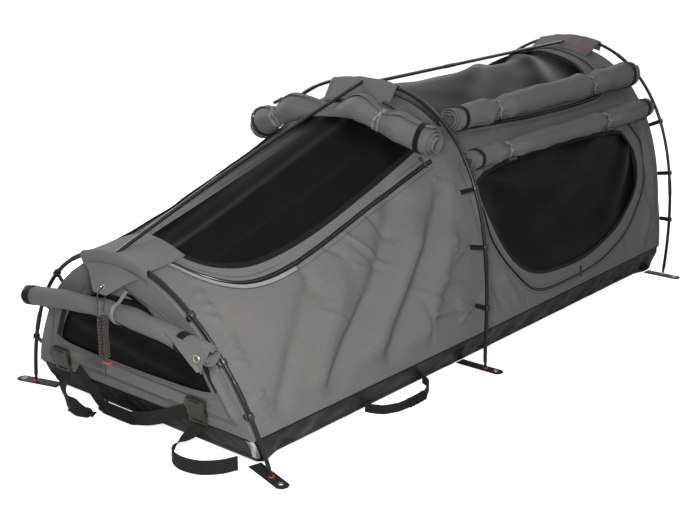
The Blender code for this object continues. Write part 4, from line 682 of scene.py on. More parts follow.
foot = Hoop(FOOT_STATION, 0.933, 0.481, 0.077, 0.346, 0.173, -0.127, 0.090,
            (0.024, 0.027, 0.027, 0.016))
mid = Hoop(FOOT_STATION + 0.906, 0.947, 0.807, 0.025, 0.114, 0.561, 0.015, 0.096,
           (0.030, 0.052, 0.052, 0.030))
head = Hoop(FOOT_STATION + 2.100, 0.927, 0.839, -0.049, 0.679, 0.215, 0.049, 0.106,
            (0.030, 0.046, 0.046, 0.028))
hoop_names = {foot: "foot", mid: "mid", head: "head"}
SIDES = {"near": 1, "far": -1}
print("hoops at", {name: round(hoop.station, 3) for hoop, name in hoop_names.items()})

# %% Creases and ripples
CREASE_STRENGTH = 3.3
CREASE_ENDS = 4
RIPPLES = 7


def smooth_step(share):
    share = np.clip(share, 0, 1)
    return share * share * (3 - 2 * share)


def fade(share, edge):
    """0 at both ends of a share, 1 in between."""
    return smooth_step(np.minimum(share, 1 - share) / edge)


def creased(points, creases):
    """How far the cloth stands out: each crease is from (y, z) to (y, z), wide, deep."""
    from_foot = points[..., 1] - FOOT_STATION
    height = points[..., 2]
    out = np.zeros(height.shape)
    for y0, z0, y1, z1, wide, deep in creases:
        way = np.array([y1 - y0, z1 - z0])
        long = np.hypot(*way)
        way = way / long
        along = ((from_foot - y0) * way[0] + (height - z0) * way[1]) / long
        off = ((from_foot - y0) * -way[1] + (height - z0) * way[0]) / wide
        taper = smooth_step(np.minimum(along, 1 - along) * CREASE_ENDS + 1 / CREASE_ENDS)
        out += deep * taper * np.exp(-off * off)
    return out * CREASE_STRENGTH


def ripples(points, seed, wave, deep):
    """Slow uneven swells, the same each run."""
    draw = np.random.default_rng(seed)
    out = np.zeros(points.shape[:-1])
    for _ in range(RIPPLES):
        way = draw.normal(size=3)
        way = way / np.linalg.norm(way) * 2 * math.pi / (wave * draw.uniform(0.7, 1.6))
        out += np.sin(points @ way + draw.uniform(0, 2 * math.pi))
    return out * deep * 2 / RIPPLES


# %% The canvas between two hoops
CANVAS_RIPPLE_WAVE = 0.22
CANVAS_RIPPLE_DEPTH = 0.0022
PINNED_AT_HOOP = 14
PINNED_AT_RIDGE = 8
PINNED_AT_SEAM = 12
SHARE_STEP = 0.004
HALVINGS = 28


class Section:
    """The canvas between two hoops, with its creases."""

    def __init__(self, first, last, near_creases, far_creases, seed):
        self.first, self.last = first, last
        self.creases = (near_creases, far_creases)
        self.seed = seed

    def smooth(self, run, arch):
        arch = np.asarray(arch, float)
        share = np.where(arch <= 1, arch, 2 - arch)
        run = np.asarray(run, float)[..., None]
        points = self.first.canvas(share) * (1 - run) + self.last.canvas(share) * run
        points[..., 0] *= np.where(arch <= 1, 1, -1)
        return points

    def ways(self, run, arch):
        """How the cloth moves along run and over arch, for a whole share of each."""
        step = SHARE_STEP
        along = (self.smooth(run + step, arch) - self.smooth(run - step, arch)) / (2 * step)
        over = (self.smooth(run, arch + step) - self.smooth(run, arch - step)) / (2 * step)
        return along, over

    def normal(self, run, arch):
        return unit(np.cross(*self.ways(run, arch)))

    def at(self, run, arch, lift=0.0):
        run, arch = np.broadcast_arrays(np.asarray(run, float), np.asarray(arch, float))
        points = self.smooth(run, arch)
        near, far = self.creases
        fold = np.where(arch <= 1, creased(points, near), creased(points, far))
        edge = np.clip(np.minimum(run, 1 - run) * PINNED_AT_HOOP, 0, 1)
        crown = np.clip(np.abs(arch - 1) * PINNED_AT_RIDGE, 0.15, 1)
        seam = np.clip(np.minimum(arch, 2 - arch) * PINNED_AT_SEAM, 0, 1)
        slow = ripples(points, self.seed, CANVAS_RIPPLE_WAVE, CANVAS_RIPPLE_DEPTH)
        fold = (fold + slow) * edge * crown * seam
        lift = np.asarray(fold + lift)
        return points + self.normal(run, arch) * lift[..., None]

    def locate(self, from_foot, value, axis):
        """(run, arch) under plan points (axis 0, across) or side points (axis 2, height)."""
        y = FOOT_STATION + np.asarray(from_foot, float)
        value = np.asarray(value, float)
        low, high = np.zeros(y.shape), np.ones(y.shape)
        for _ in range(HALVINGS):
            share = (low + high) / 2
            a, b = self.first.canvas(share), self.last.canvas(share)
            run = (y - a[..., 1]) / (b[..., 1] - a[..., 1])
            here = a[..., axis] * (1 - run) + b[..., axis] * run
            up = here > np.abs(value) if axis == 0 else here < value
            low, high = np.where(up, share, low), np.where(up, high, share)
        arch = np.where(value < 0, 2 - share, share) if axis == 0 else share
        return run, arch


# %% [markdown]
# Tight cloth still shows where it pulls. The near side's long folds run from the
# middle hoop's shoulder down to the base, with sharp little creases from packing
# between them, and small pleats fan in from every hook clip. A cloth simulation would
# choose its own folds, so these are listed, each a line on the wall.

# %% Where the canvas folds
NEAR_FOOT_CREASES = in_metres(
    (700, 560, 500, 310, 34, -8.5), (520, 335, 262, 105, 28, -10), (740, 470, 430, 150, 36, 8.5),
    (880, 560, 690, 320, 30, -8), (720, 360, 500, 110, 30, -7), (860, 440, 640, 130, 34, 6),
    (330, 400, 165, 215, 26, -4.5), (190, 240, 85, 115, 22, -4), (430, 400, 215, 120, 34, 5),
    (462, 480, 600, 362, 6.5, 2.6), (470, 455, 580, 352, 7, -2), (390, 458, 448, 420, 7, -2.2),
    (455, 398, 532, 374, 6, 2.2), (300, 319, 395, 262, 6, 1.8), (630, 320, 780, 214, 6, 2),
    (693, 207, 878, 190, 6, 2), (705, 201, 846, 166, 6, -1.6), (422, 194, 510, 126, 8, 2.4),
    (560, 520, 640, 430, 12, -3), (300, 450, 330, 330, 16, -2.5), (760, 300, 880, 250, 10, 2),
    (690, 260, 700, 120, 12, -2.5))
NEAR_HEAD_CREASES = in_metres(
    (985, 300, 1075, 110, 14, -4), (1060, 250, 1160, 105, 16, 3.5),
    (1190, 150, 1180, 100, 10, -3), (2070, 700, 2030, 250, 18, -4.5),
    (2040, 300, 1960, 110, 20, 4), (2075, 520, 2060, 150, 10, 3),
    (1420, 135, 1400, 105, 12, 2.5), (1640, 140, 1650, 105, 12, -2.5),
    (1840, 190, 1900, 110, 16, -3.5), (945, 600, 985, 350, 12, -3.5),
    (1100, 690, 2020, 700, 10, 2.2), (1150, 620, 2000, 625, 12, -2.2))
LONG_CREASES = (0.18, 0.32), (0.034, 0.050), (0.004, 0.008)
SHORT_CREASES = (0.05, 0.13), (0.010, 0.016), (0.0015, 0.0028)
CREASE_FLOOR = 0.105


def drawn_creases(seed, count, foot_end, head_end):
    """Creases for a side that no picture shows: long ones down it, short ones anywhere."""
    draw = np.random.default_rng(seed)
    made = []
    for i in range(count):
        y = foot_end + (head_end - foot_end) * (i + draw.uniform(0.1, 0.9)) / count
        z = draw.uniform(0.30, 0.52)
        reaches, widths, depths = LONG_CREASES if i % 3 == 0 else SHORT_CREASES
        reach = draw.uniform(*reaches)
        slant = draw.uniform(-0.7, -0.1)
        wide = draw.uniform(*widths)
        deep = draw.uniform(*depths) * (1 if i % 2 else -1)
        made.append((y, z, y + slant * reach, max(z - reach, CREASE_FLOOR), wide, deep))
    return made


CLIP_SHARES = {foot: (0.163, 0.332, 0.519), mid: (0.264, 0.430, 0.580),
               head: (0.114, 0.224, 0.375, 0.571)}
PLEAT_RISES = (-0.033, 0.0, 0.030)
PLEAT_START, PLEAT_END = 0.008, 0.085
PLEAT_WIDE, PLEAT_DEEP = 0.009, 0.0024


def clip_pleats(hoop, way):
    """Three short pleats from each clip, where its tab pulls the canvas."""
    made = []
    for t in CLIP_SHARES[hoop]:
        _, height = hoop.at(t)
        y = hoop.station - FOOT_STATION + hoop.lean * height
        made += [(y + way * PLEAT_START, height, y + way * PLEAT_END, height + rise,
                  PLEAT_WIDE, PLEAT_DEEP) for rise in PLEAT_RISES]
    return made


foot_pleats = clip_pleats(foot, 1) + clip_pleats(mid, -1)
head_pleats = clip_pleats(mid, 1) + clip_pleats(head, -1)
foot_section = Section(foot, mid, NEAR_FOOT_CREASES + foot_pleats,
                       drawn_creases(3, 16, 0.15, 0.80) + foot_pleats, 11)
head_section = Section(mid, head, NEAR_HEAD_CREASES + head_pleats,
                       drawn_creases(5, 20, 1.05, 2.00) + head_pleats, 12)
print(len(NEAR_FOOT_CREASES) + len(NEAR_HEAD_CREASES), "creases laid by hand")

# %% [markdown]
# Openings are cut with a template, as a tent maker would: a closed prism stands on
# the outline and a Boolean takes it out of the cloth, or keeps only the net inside
# it. The outlines are a few chosen points whose corners are then cut round.

# %% Outlines and templates
def rounded(points, times=2, closed=True):
    """Corner cutting: each corner is replaced by two points a quarter along."""
    points = np.asarray(points, float)
    for _ in range(times):
        after = np.roll(points, -1, axis=0) if closed else points[1:]
        before = points if closed else points[:-1]
        cut = np.stack((before * 0.75 + after * 0.25, before * 0.25 + after * 0.75), axis=1)
        cut = cut.reshape(-1, points.shape[1])
        points = cut if closed else np.vstack((points[:1], cut, points[-1:]))
    return points


def outward_ways(line, closed):
    """In its plane, the way out of a line, on its right hand as it runs."""
    if closed:
        ways = np.roll(line[:-1], -1, axis=0) - np.roll(line[:-1], 1, axis=0)
        ways = np.vstack((ways, ways[:1]))
    else:
        ways = np.gradient(line, axis=0)
    ways = unit(ways)
    out = np.stack((ways[:, 1], -ways[:, 0]), axis=1)
    area = (line[:-1, 0] * line[1:, 1] - line[1:, 0] * line[:-1, 1]).sum()
    return out if area > 0 or not closed else -out


def offset_outline(points, margin):
    """A closed outline moved outward by a margin."""
    return points + outward_ways(np.vstack((points, points[:1])), True)[:-1] * margin


def prism(points, way):
    """A closed template from a ring of points, pushed out along a way."""
    bpy.ops.object.select_all(action="DESELECT")
    bpy.ops.mesh.primitive_circle_add(vertices=len(points), fill_type="NGON")
    piece = bpy.context.object
    set_points(piece, points)
    edit(piece, SELECT_ALL,
         (ops.extrude_region_move, {"TRANSFORM_OT_translate": {"value": way}}), SELECT_ALL,
         FACE_OUT)
    return piece


def trim(piece, template, operation):
    """Cuts the cloth with a template and takes the template away."""
    apply_modifier(piece, "BOOLEAN", object=template, operation=operation,
                   solver="MANIFOLD")
    bpy.data.objects.remove(template, do_unlink=True)


PLAN_PRISM_SPAN = (0.22, 0.95)
SIDE_PRISM_SPAN = (0.12, 0.60)


def plan_prism(outline):
    low, high = PLAN_PRISM_SPAN
    return prism([(x, FOOT_STATION + y, low) for x, y in outline], (0, 0, high - low))


def side_prism(outline):
    inner, outer = SIDE_PRISM_SPAN
    return prism([(inner, FOOT_STATION + y, z) for y, z in outline], (outer - inner, 0, 0))


def mirrored_outline(shares, half_width, start, length):
    near = [(half_width * x, start + length * y) for x, y in shares]
    return rounded(near + [(-x, y) for x, y in near[::-1]])


TOP_SHARES = (
    (0.20, 0.0), (0.46, 0.012), (0.69, 0.055), (0.86, 0.140), (0.94, 0.240),
    (0.99, 0.420), (1.0, 0.600), (1.0, 0.975), (0.97, 1.0))
SKYLIGHT_SHARES = (
    (0.95, 0.0), (1.0, 0.020), (1.0, 0.860), (0.95, 0.930), (0.80, 0.975), (0.58, 1.0))
DOOR_SHARES = (
    (0.0, 1.0), (0.005, 0.73), (0.075, 0.39), (0.17, 0.14), (0.28, 0.025), (0.42, 0.0),
    (0.56, 0.0), (0.70, 0.06), (0.82, 0.15), (0.905, 0.275), (0.965, 0.42), (0.99, 0.56),
    (1.0, 0.73), (0.97, 0.88), (0.925, 1.0))
DOOR_START, DOOR_LONG, DOOR_LOW, DOOR_HIGH = 1.000, 0.965, 0.190, 0.375
top_outline = mirrored_outline(TOP_SHARES, 0.258, 0.045, 0.805)
skylight_outline = mirrored_outline(SKYLIGHT_SHARES, 0.245, 0.955, 0.970)
door_outline = rounded([(DOOR_START + DOOR_LONG * x, DOOR_LOW + DOOR_HIGH * y)
                        for x, y in DOOR_SHARES])
print("outlines of", len(top_outline), len(skylight_outline), len(door_outline), "points")

# %% [markdown]
# The canvas between two hoops is one long sheet from base seam to base seam. It is
# laid as a grid on the section, given its thickness inward, and cut.

# %% The canvas
HOOP_MARGIN = 0.0005
CANVAS_COLUMNS, CANVAS_ROWS = 150, 300


def section_size(section, low=0, high=2):
    """Its length, and the way over it between two arch shares."""
    over = path_length(section.smooth(np.full(60, 0.5), np.linspace(low, high, 60)))
    return float(abs(section.last.station - section.first.station)), over


def canvas_sheet(name, section, templates, nodes):
    long, over = section_size(section)

    def place(u, v):
        margin = HOOP_MARGIN / long
        return section.at(margin + u * (1 - 2 * margin), 2 * v)

    piece = laid_grid(name, CANVAS_COLUMNS, CANVAS_ROWS, place, (long, over))
    thicken(piece, CANVAS, -1.0)
    for template in templates:
        trim(piece, template, "DIFFERENCE")
    dress(piece, canvas_grey, "root", nodes)
    print(name, len(piece.data.vertices), "points")


canvas_sheet("foot_canvas", foot_section, [plan_prism(top_outline)],
             ["near_wall_foot", "far_wall_foot"])
canvas_sheet("head_canvas", head_section,
             [plan_prism(skylight_outline), side_prism(door_outline)],
             ["near_wall_head", "far_wall_head"])

# %% [markdown]
# Insect net hangs slack behind each opening: the same kind of grid, a little inside
# the canvas, with soft folds where it is hung. It keeps only what is inside a larger
# template, so its cut edge always hides behind the binding.

# %% Insect nets
NET = 0.0006
NET_DEPTH = 0.0025
NET_LAP = 0.012
NET_MARGIN = 0.004
TOP_DRAPE, TOP_FOLDS, TOP_POOL = 0.016, 0.0100, 0.0050
SKYLIGHT_DRAPE, SKYLIGHT_FOLDS = 0.014, 0.026
SKYLIGHT_FAN_CENTRE = (1.02, 1.45)
DOOR_DRAPE, DOOR_FAN, DOOR_SWAGS = 0.0120, 0.024, 0.016
DOOR_FAN_CENTRE = (1.00, 0.66)


def ridges(turns):
    """Narrow ridges with wide hollows between them, one for each whole turn."""
    return (0.5 + 0.5 * np.cos(2 * math.pi * turns)) ** 3 - 0.3


def bell(value, centre, half_width):
    return np.exp(-((value - centre) / half_width) ** 2)


def round_centre(centre, run, arch):
    """Turn and reach from the centre that folds fan out from."""
    across, over = centre[0] - run, centre[1] - arch
    return np.arctan2(over, across), np.hypot(over, across)


def top_sag(run, arch):
    """Slack from hoop to hoop, folds off the ridge, a puddle low at each side."""
    off = np.abs(arch - 1)
    drape = TOP_DRAPE * fade(run, 0.30) * fade(off / 0.66, 0.35)
    folds = TOP_FOLDS * ridges(6.5 * off + 0.5 * run) * np.exp(-2.2 * off) * fade(run, 0.15)
    pool = TOP_POOL * np.sin(30 * run + 26 * off) * bell(run, 0.26, 0.16)
    return drape - folds + pool * bell(off, 0.50, 0.14)


def skylight_sag(run, arch):
    """Slack over the head, with folds that fan out from its far head corner."""
    turn, reach = round_centre(SKYLIGHT_FAN_CENTRE, run, arch)
    drape = SKYLIGHT_DRAPE * fade(run, 0.25) * fade((arch - 0.4) / 1.2, 0.35)
    return drape - SKYLIGHT_FOLDS * ridges(2.9 * turn) * np.exp(-reach) * fade(run, 0.10)


def door_sag(run, arch):
    """Swags that hang from the roll above, and a fan from the head end's top corner."""
    turn, reach = round_centre(DOOR_FAN_CENTRE, run, arch)
    fan = DOOR_FAN * ridges(1.9 * turn + 0.1) * np.exp(-1.4 * reach)
    swags = DOOR_SWAGS * ridges(3.4 * (arch + 0.22 * np.cos(3.2 * (run - 0.45))))
    ends = fade((run - 0.05) / 0.92, 0.12) * fade((arch - 0.06) / 0.70, 0.15)
    return DOOR_DRAPE * ends - (fan + swags * np.exp(-3 * np.abs(arch - 0.52))) * ends


def net_sheet(name, section, counts, span, template, sag, node_name):
    low, high = span

    def place(u, v):
        run, arch = NET_MARGIN + (1 - 2 * NET_MARGIN) * u, low + (high - low) * v
        return section.at(run, arch, -NET_DEPTH - sag(run, arch))

    piece = laid_grid(name, *counts, place, section_size(section, low, high))
    thicken(piece, NET, -1.0)
    trim(piece, template, "INTERSECT")
    dress(piece, net_black, "root", [node_name])
    long = float(np.ptp(mesh_points(piece)[:, 1]))
    print(name, len(piece.data.vertices), "points")


net_sheet("top_net", foot_section, (130, 220), (0.25, 1.75),
          plan_prism(offset_outline(top_outline, NET_LAP)), top_sag, "top_mesh")
net_sheet("skylight_net", head_section, (150, 200), (0.35, 1.65),
          plan_prism(offset_outline(skylight_outline, NET_LAP)), skylight_sag, "skylight_mesh")
net_sheet("door_net", head_section, (170, 130), (0.02, 0.80),
          side_prism(offset_outline(door_outline, NET_LAP)), door_sag, "door_mesh")

# %% [markdown]
# Bindings, zip tapes and stitches all follow an outline at some distance from it. One
# band does them all: a grid between two offsets of the outline, each point found on
# the creased cloth, so the trim dips into every fold with the canvas below it. A grey
# storm tape is sewn along the top zip where that crosses the foot end.

# %% Bands on the cloth
def even_line(points, step, closed=False):
    """Even short steps along a line of straight runs."""
    points = np.asarray(points, float)
    if closed:
        points = np.vstack((points, points[:1]))
    return at_stops(points, max(int(walked_along(points)[-1] / step), 4))


def on_cloth(section, line, lift):
    """Points above the creased cloth; a plan line is (across, along), a side one (along, up)."""
    side_view = section is head_section and line[:, 1].max() < 0.8
    from_foot, value = (line[:, 0], line[:, 1]) if side_view else (line[:, 1], line[:, 0])
    run, arch = section.locate(from_foot, value, 2 if side_view else 0)
    return section.at(np.clip(run, 0.0006, 0.9994), arch, lift)


def band_between(name, line, margins, thickness, lay, closed, rows, long=None):
    """A band between two margins of a line, whose points lay() puts in the frame."""
    out = outward_ways(line, closed)
    inner, outer = margins

    def place(u, v):
        i = at_index(u, len(line))
        return lay(line[i] + out[i] * (inner + (outer - inner) * v)[:, None])

    long = long or path_length(line + out * (inner + outer) / 2)
    piece = laid_grid(name, len(line) - 1, rows, place, (long, outer - inner))
    weld(piece)
    thicken(piece, thickness)
    return piece


def cloth_band(name, section, line, margins, lift, thickness, closed=True, rows=2):
    return band_between(name, line, margins, thickness,
                        lambda points: on_cloth(section, points, lift), closed, rows)


# %% Zips, bindings and hems
LINE_STEP = 0.006
STITCH_WIDE = 0.0010
STITCH_THICK = 0.0005
ZIP_TAPE_HALF = 0.0042
TEETH_RADIUS = 0.0019


def zip_run(name, section, line):
    """Black tape with a ribbed row of closed teeth along its middle, and two stitches."""
    tape = cloth_band(name + "_tape", section, line, (-ZIP_TAPE_HALF, ZIP_TAPE_HALF), 0.0008,
                      0.0009, False, 4)
    dress(tape, tape_black)
    teeth = tube(name + "_teeth", on_cloth(section, line, 0.0021), TEETH_RADIUS, 8)
    dress(teeth, teeth_black)
    for side, middle in (("inner", -0.0120), ("outer", 0.0120)):
        margins = (middle - STITCH_WIDE / 2, middle + STITCH_WIDE / 2)
        stitch = cloth_band(f"{name}_{side}_stitch", section, line, margins, 0.0004,
                            STITCH_THICK, False, 1)
        dress(stitch, stitch_grey)


TOP_ZIP_HALF = in_metres(
    (97, 13), (178, 51), (236, 111), (264, 180), (278, 274), (284, 401), (287, 588), (294, 803),
    (297, 855))
DOOR_ZIP = in_metres(
    (1972, 586), (2033, 479), (2005, 369), (1884, 232), (1683, 158), (1445, 139), (1264, 148),
    (1150, 217), (1029, 350), (997, 461))
SKYLIGHT_ZIP = in_metres(
    (262, 990), (276, 1400), (274, 1830), (250, 1935), (205, 1975), (120, 1995), (0, 2004))
BINDING_MARGINS = (-0.0045, 0.0065)
HEM_MARGINS = (0.0070, 0.0210)
STORM_TAPE_MARGINS = (-0.0110, -0.0048)
for name, section, outline in (("top", foot_section, top_outline),
                               ("skylight", head_section, skylight_outline),
                               ("door", head_section, door_outline)):
    line = even_line(outline, LINE_STEP, True)
    dress(cloth_band(name + "_binding", section, line, BINDING_MARGINS, 0.0005, 0.0036),
          binding_black)
    dress(cloth_band(name + "_hem", section, line, HEM_MARGINS, 0.0006, 0.0008),
          canvas_grey)
MIRROR = (-1, 1)
top_half, skylight_half = smooth_path(TOP_ZIP_HALF, 60), smooth_path(SKYLIGHT_ZIP, 90)
zip_paths = {"top": np.vstack((top_half[::-1], top_half * MIRROR)),
             "door": smooth_path(DOOR_ZIP, 160),
             "skylight": np.vstack((skylight_half, skylight_half[-2::-1] * MIRROR))}
for name, path in zip_paths.items():
    line = even_line(path, LINE_STEP)
    zip_run(name + "_zip", foot_section if name == "top" else head_section, line)
    print(name, "zip", round(path_length(line), 2), "m")
storm_half = top_half[:24]
storm_line = even_line(np.vstack((storm_half[::-1], storm_half * MIRROR)), LINE_STEP)
dress(cloth_band("top_zip_storm_tape", foot_section, storm_line, STORM_TAPE_MARGINS, 0.0036,
                 0.0016, False), webbing_grey)

# %% [markdown]
# The base is a tub of coated cloth, turned up round the mattress and sewn to the
# canvas. One grid is wrapped round the bed: its lower ring is the floor's outline, its
# upper ring follows the canvas, and the slack between them buckles, but not behind
# the side handle, which pulls it flat. Then the hole at the bottom is filled, piping
# runs round the seam, and a reflective strip is sewn up the near foot corner.

# %% The base tub
BASE_LENGTH = 2.100
BASE_WIDTH = 0.820
BASE_WAIST = 0.018
BASE_WAIST_FROM_END = 0.060
BASE_CORNER = 0.014
BASE_EDGE_TURN = 0.024
BASE_CLOTH = 0.0020
BASE_ROUND = 5.6
TUB_COLUMNS = 720
TUB_ROWS = 34
SEAM_SINK = 0.0008


def base_ring(foot_end, middle, head_end, waist):
    """A ring round the bed from half width, length and height at three stations."""
    side = []
    for a, b in ((foot_end, middle), (head_end, middle)):
        a = np.array(a) + (0, BASE_CORNER if a is foot_end else -BASE_CORNER, 0)
        share = BASE_WAIST_FROM_END / abs(b[1] - a[1])
        side.append((a, a + (b - a) * share - (waist, 0, 0)))
    near = [*side[0], np.array(middle) - (waist, 0, 0), *side[1][::-1]]
    corners = [np.array(end) - (BASE_CORNER, 0, 0) for end in (foot_end, head_end)]
    half = [corners[0], *near, corners[1]]
    far_half = [point * (-1, 1, 1) for point in half[::-1]]
    return np.array(half[1:] + far_half + half[:1])


def ring_at(ring, share, counts):
    """Along the ring's runs, each with its own part of the columns."""
    stops = np.concatenate(([0], np.cumsum(counts))) / sum(counts)
    closed = np.vstack((ring, ring[:1]))
    return np.stack([np.interp(share, stops, column) for column in closed.T], axis=-1)


half_base = BASE_WIDTH / 2
floor_line = base_ring((half_base, -BASE_LENGTH / 2, 0), (half_base, mid.station, 0),
                       (half_base, BASE_LENGTH / 2, 0), BASE_WAIST)
seams = [hoop.canvas(0.0) for hoop in (foot, mid, head)]
seam_line = base_ring(*seams, 0)
seam_line[:, 2] -= SEAM_SINK
ring_counts = [max(int(np.linalg.norm(run) / 0.008), 2)
               for run in np.diff(np.vstack((floor_line, floor_line[:1])), axis=0)]
HANDLE_STATION = FOOT_STATION + 0.570
HANDLE_CLEAR = 0.180
HANDLE_CALM = 0.95
TURN_UP_SHARE = 0.28
BUCKLES = ((31, 3.0, 2.0, 5, 1.0), (53, -4.0, 1.5, 7, 0.7), (87, 7.0, 0.0, 1, 0.5))
BUCKLE_DEEP = 0.0034
SLACK_DEEP = 0.0040


def tub_place(u, v):
    floor_at = ring_at(floor_line, u, ring_counts)
    seam_at = ring_at(seam_line, u, ring_counts)
    turn = np.clip(v / TURN_UP_SHARE, 0, 1) * math.pi / 2
    rise = np.clip((v - TURN_UP_SHARE) / (1 - TURN_UP_SHARE), 0, 1)[..., None]
    tuck = BASE_EDGE_TURN * (1 - np.sin(turn))
    low = floor_at * np.column_stack((1 - tuck / half_base, 1 - tuck / (BASE_LENGTH / 2),
                                      np.zeros_like(tuck)))
    low[:, 2] = BASE_CLOTH + BASE_EDGE_TURN * (1 - np.cos(turn))
    lifted = seam_at - floor_at * (1, 1, 0) - UP * (BASE_EDGE_TURN + BASE_CLOTH)
    points = low + lifted * rise
    around = 2 * math.pi * u
    slack = np.sin(math.pi * np.clip((v - 0.10) / 0.86, 0, 1)) ** 0.8
    buckle = sum(share * np.sin(count * around + lean * v + sway * np.sin(beat * around))
                 for count, lean, sway, beat, share in BUCKLES)
    off_handle = (points[:, 1] - HANDLE_STATION) / HANDLE_CLEAR
    calm = np.where(points[:, 0] > 0, np.exp(-off_handle ** 4), 0)
    swell = (BUCKLE_DEEP * buckle + SLACK_DEEP) * (1 - HANDLE_CALM * calm)
    return points + unit(floor_at * (1, 0.08, 0)) * (slack * swell)[:, None]


tub = laid_grid("base_tub_cloth", TUB_COLUMNS, TUB_ROWS, tub_place, (BASE_ROUND, 0.16))
weld(tub)
edit(tub, (ops.select_all, {"action": "DESELECT"}))
tub.data.vertices.foreach_set("select", mesh_points(tub)[:, 2] < BASE_CLOTH + 1e-5)
edit(tub, (ops.edge_face_add, {}), (ops.inset, {"thickness": 0.05}), SELECT_ALL, FACE_OUT)
thicken(tub, BASE_CLOTH, -1.0)
dress(tub, base_black, "root", ["base_tub"])
print("tub", len(tub.data.vertices), "points")

# %% Strip and piping on the tub
STRIP_FROM, STRIP_WIDE = 0.9948, 0.0036
PIPING_RADIUS = 0.0022


def strip_place(u, v):
    points = tub_place(STRIP_FROM + STRIP_WIDE * u, 0.26 + 0.70 * v)
    return points + unit(points * (1, 0.5, 0)) * 0.0016


strip = laid_grid("tub_corner_strip", 8, 30, strip_place, (0.012, 0.08))
thicken(strip, 0.0008)
dress(strip, silver_strip)
piping_points = ring_at(seam_line, np.linspace(0, 1, 640), ring_counts)
piping_points += unit(piping_points * (1, 0.1, 0)) * 0.0012
piping = tube("seam_piping", piping_points, PIPING_RADIUS, 8, False)
dress(piping, binding_black)
print("piping", round(path_length(piping_points), 2), "m")

# %% [markdown]
# The mattress is a foam slab in the tub. A box with cut corners would look hard, so a
# grid is domed and dimpled like foam that has been rolled up.

# %% The mattress
MATTRESS_INSET = BASE_WAIST + BASE_CLOTH + 0.012
MATTRESS_THICKNESS = 0.060
CORNER_POWER = 0.18
EDGE_POWERS = (0.20, 0.35)
SETTLED = 0.003


def squared(wave, power):
    """A wave from -1 to 1 with its shoulders filled out."""
    return np.sign(wave) * np.abs(wave) ** power


def mattress_place(u, v):
    """Round the slab's section from under it, over its edge, to its top."""
    turn, section = 2 * math.pi * u, math.pi * (0.996 * v - 0.498)
    reach = squared(np.cos(section), EDGE_POWERS[0])
    height = squared(np.sin(section), EDGE_POWERS[1])
    x = (half_base - MATTRESS_INSET) * squared(np.cos(turn), CORNER_POWER) * reach
    y = (BASE_LENGTH / 2 - MATTRESS_INSET) * squared(np.sin(turn), CORNER_POWER) * reach
    z = BASE_CLOTH + 0.0004 + MATTRESS_THICKNESS / 2 * (1 + height)
    dent = 0.0016 * np.sin(11 * x + 5 * y) + 0.0013 * np.sin(23 * y - 9 * x)
    return np.stack((x, y, z + (dent - SETTLED) * np.clip(height, 0, 1)), axis=-1)


pad = laid_grid("mattress_pad", 160, 60, mattress_place, (BASE_ROUND, 1.2))
weld(pad, CAP_ENDS)
# The ticking's dark grey is partly painted shade for the inside of the tent, seen through the
# nets.
dress(pad, ticking_grey_and_painted_shade, "root", ["mattress"], 50)
print("mattress", len(pad.data.vertices), "points")

# %% [markdown]
# Each end is closed by a panel in its hoop's leaning plane. The foot panel has a net
# window with a double hem and two strips of black hook tape, for the cover that is
# rolled up above it. The head panel is out of the picture and is left plain.

# %% End panels
PANEL_SETBACK = 0.0006
WINDOW_SILL = 0.166
WINDOW_HEAD = 0.372
WINDOW_HALF_WIDTH = 0.300
WINDOW_SHARES = ((1.0, 0.0), (0.95, 0.19), (0.86, 0.41), (0.74, 0.60), (0.58, 0.77),
                 (0.38, 0.90), (0.18, 0.975))
window_half = [(WINDOW_HALF_WIDTH * x, WINDOW_SILL + (WINDOW_HEAD - WINDOW_SILL) * z)
               for x, z in WINDOW_SHARES]
window_outline = rounded(window_half + [(-x, z) for x, z in window_half[::-1]])
window_line = even_line(window_outline, LINE_STEP, True)
PANEL_CREASES = in_metres(
    (100, 360, 240, 200, 14, 3), (-120, 360, -260, 200, 14, 3), (-300, 150, 280, 135, 12, -3),
    (-250, 130, 200, 115, 10, 2.5), (0, 390, 130, 330, 12, -3), (300, 240, 370, 120, 12, 2.5),
    (-50, 400, -160, 330, 10, 2.5), (-320, 260, -370, 130, 12, -2.5))
PANEL_FOLD_LOW, PANEL_FOLD_SPAN = 0.09, 0.33


def panel_point(hoop, across, height, lift, outside, creases):
    """On the leaning panel; lift stands outward, toward the foot where outside is -1."""
    across, height = np.broadcast_arrays(across, height)
    fold = creased(np.stack((across, across + FOOT_STATION, height), axis=-1), creases)
    slow = ripples(np.stack((across, height * 0, height), axis=-1), 21, 0.16, 0.0014)
    edge = fade(np.clip((height - PANEL_FOLD_LOW) / PANEL_FOLD_SPAN, 0, 1), 0.12)
    return hoop.place(across, height, outside * ((fold + slow) * edge + lift))


def end_panel(hoop, outside, creases, template=None):
    rim = hoop.canvas(np.linspace(0, 1, 60))
    size = (float(rim[:, 0].max() * 2), float(rim[:, 2].max() - rim[0, 2]))

    def place(u, v):
        edge = hoop.canvas(v)
        return panel_point(hoop, (2 * u - 1) * edge[..., 0], edge[..., 2],
                           PANEL_SETBACK, outside, creases)

    name = hoop_names[hoop]
    piece = laid_grid(name + "_panel_cloth", 150, 110, place, size)
    weld(piece)
    thicken(piece, CANVAS)
    if template:
        trim(piece, template, "DIFFERENCE")
    dress(piece, canvas_grey, "root", [name + "_end_panel"])
    print(name, "panel", [round(side, 3) for side in size], "m")


def window_prism(outline):
    return prism([(x, foot.station - 0.12, z) for x, z in outline], (0, 0.24, 0))


end_panel(foot, -1.0, PANEL_CREASES, window_prism(window_outline))
end_panel(head, 1.0, PANEL_CREASES[:2])

# %% Window net
WINDOW_NET_LAP = 0.020


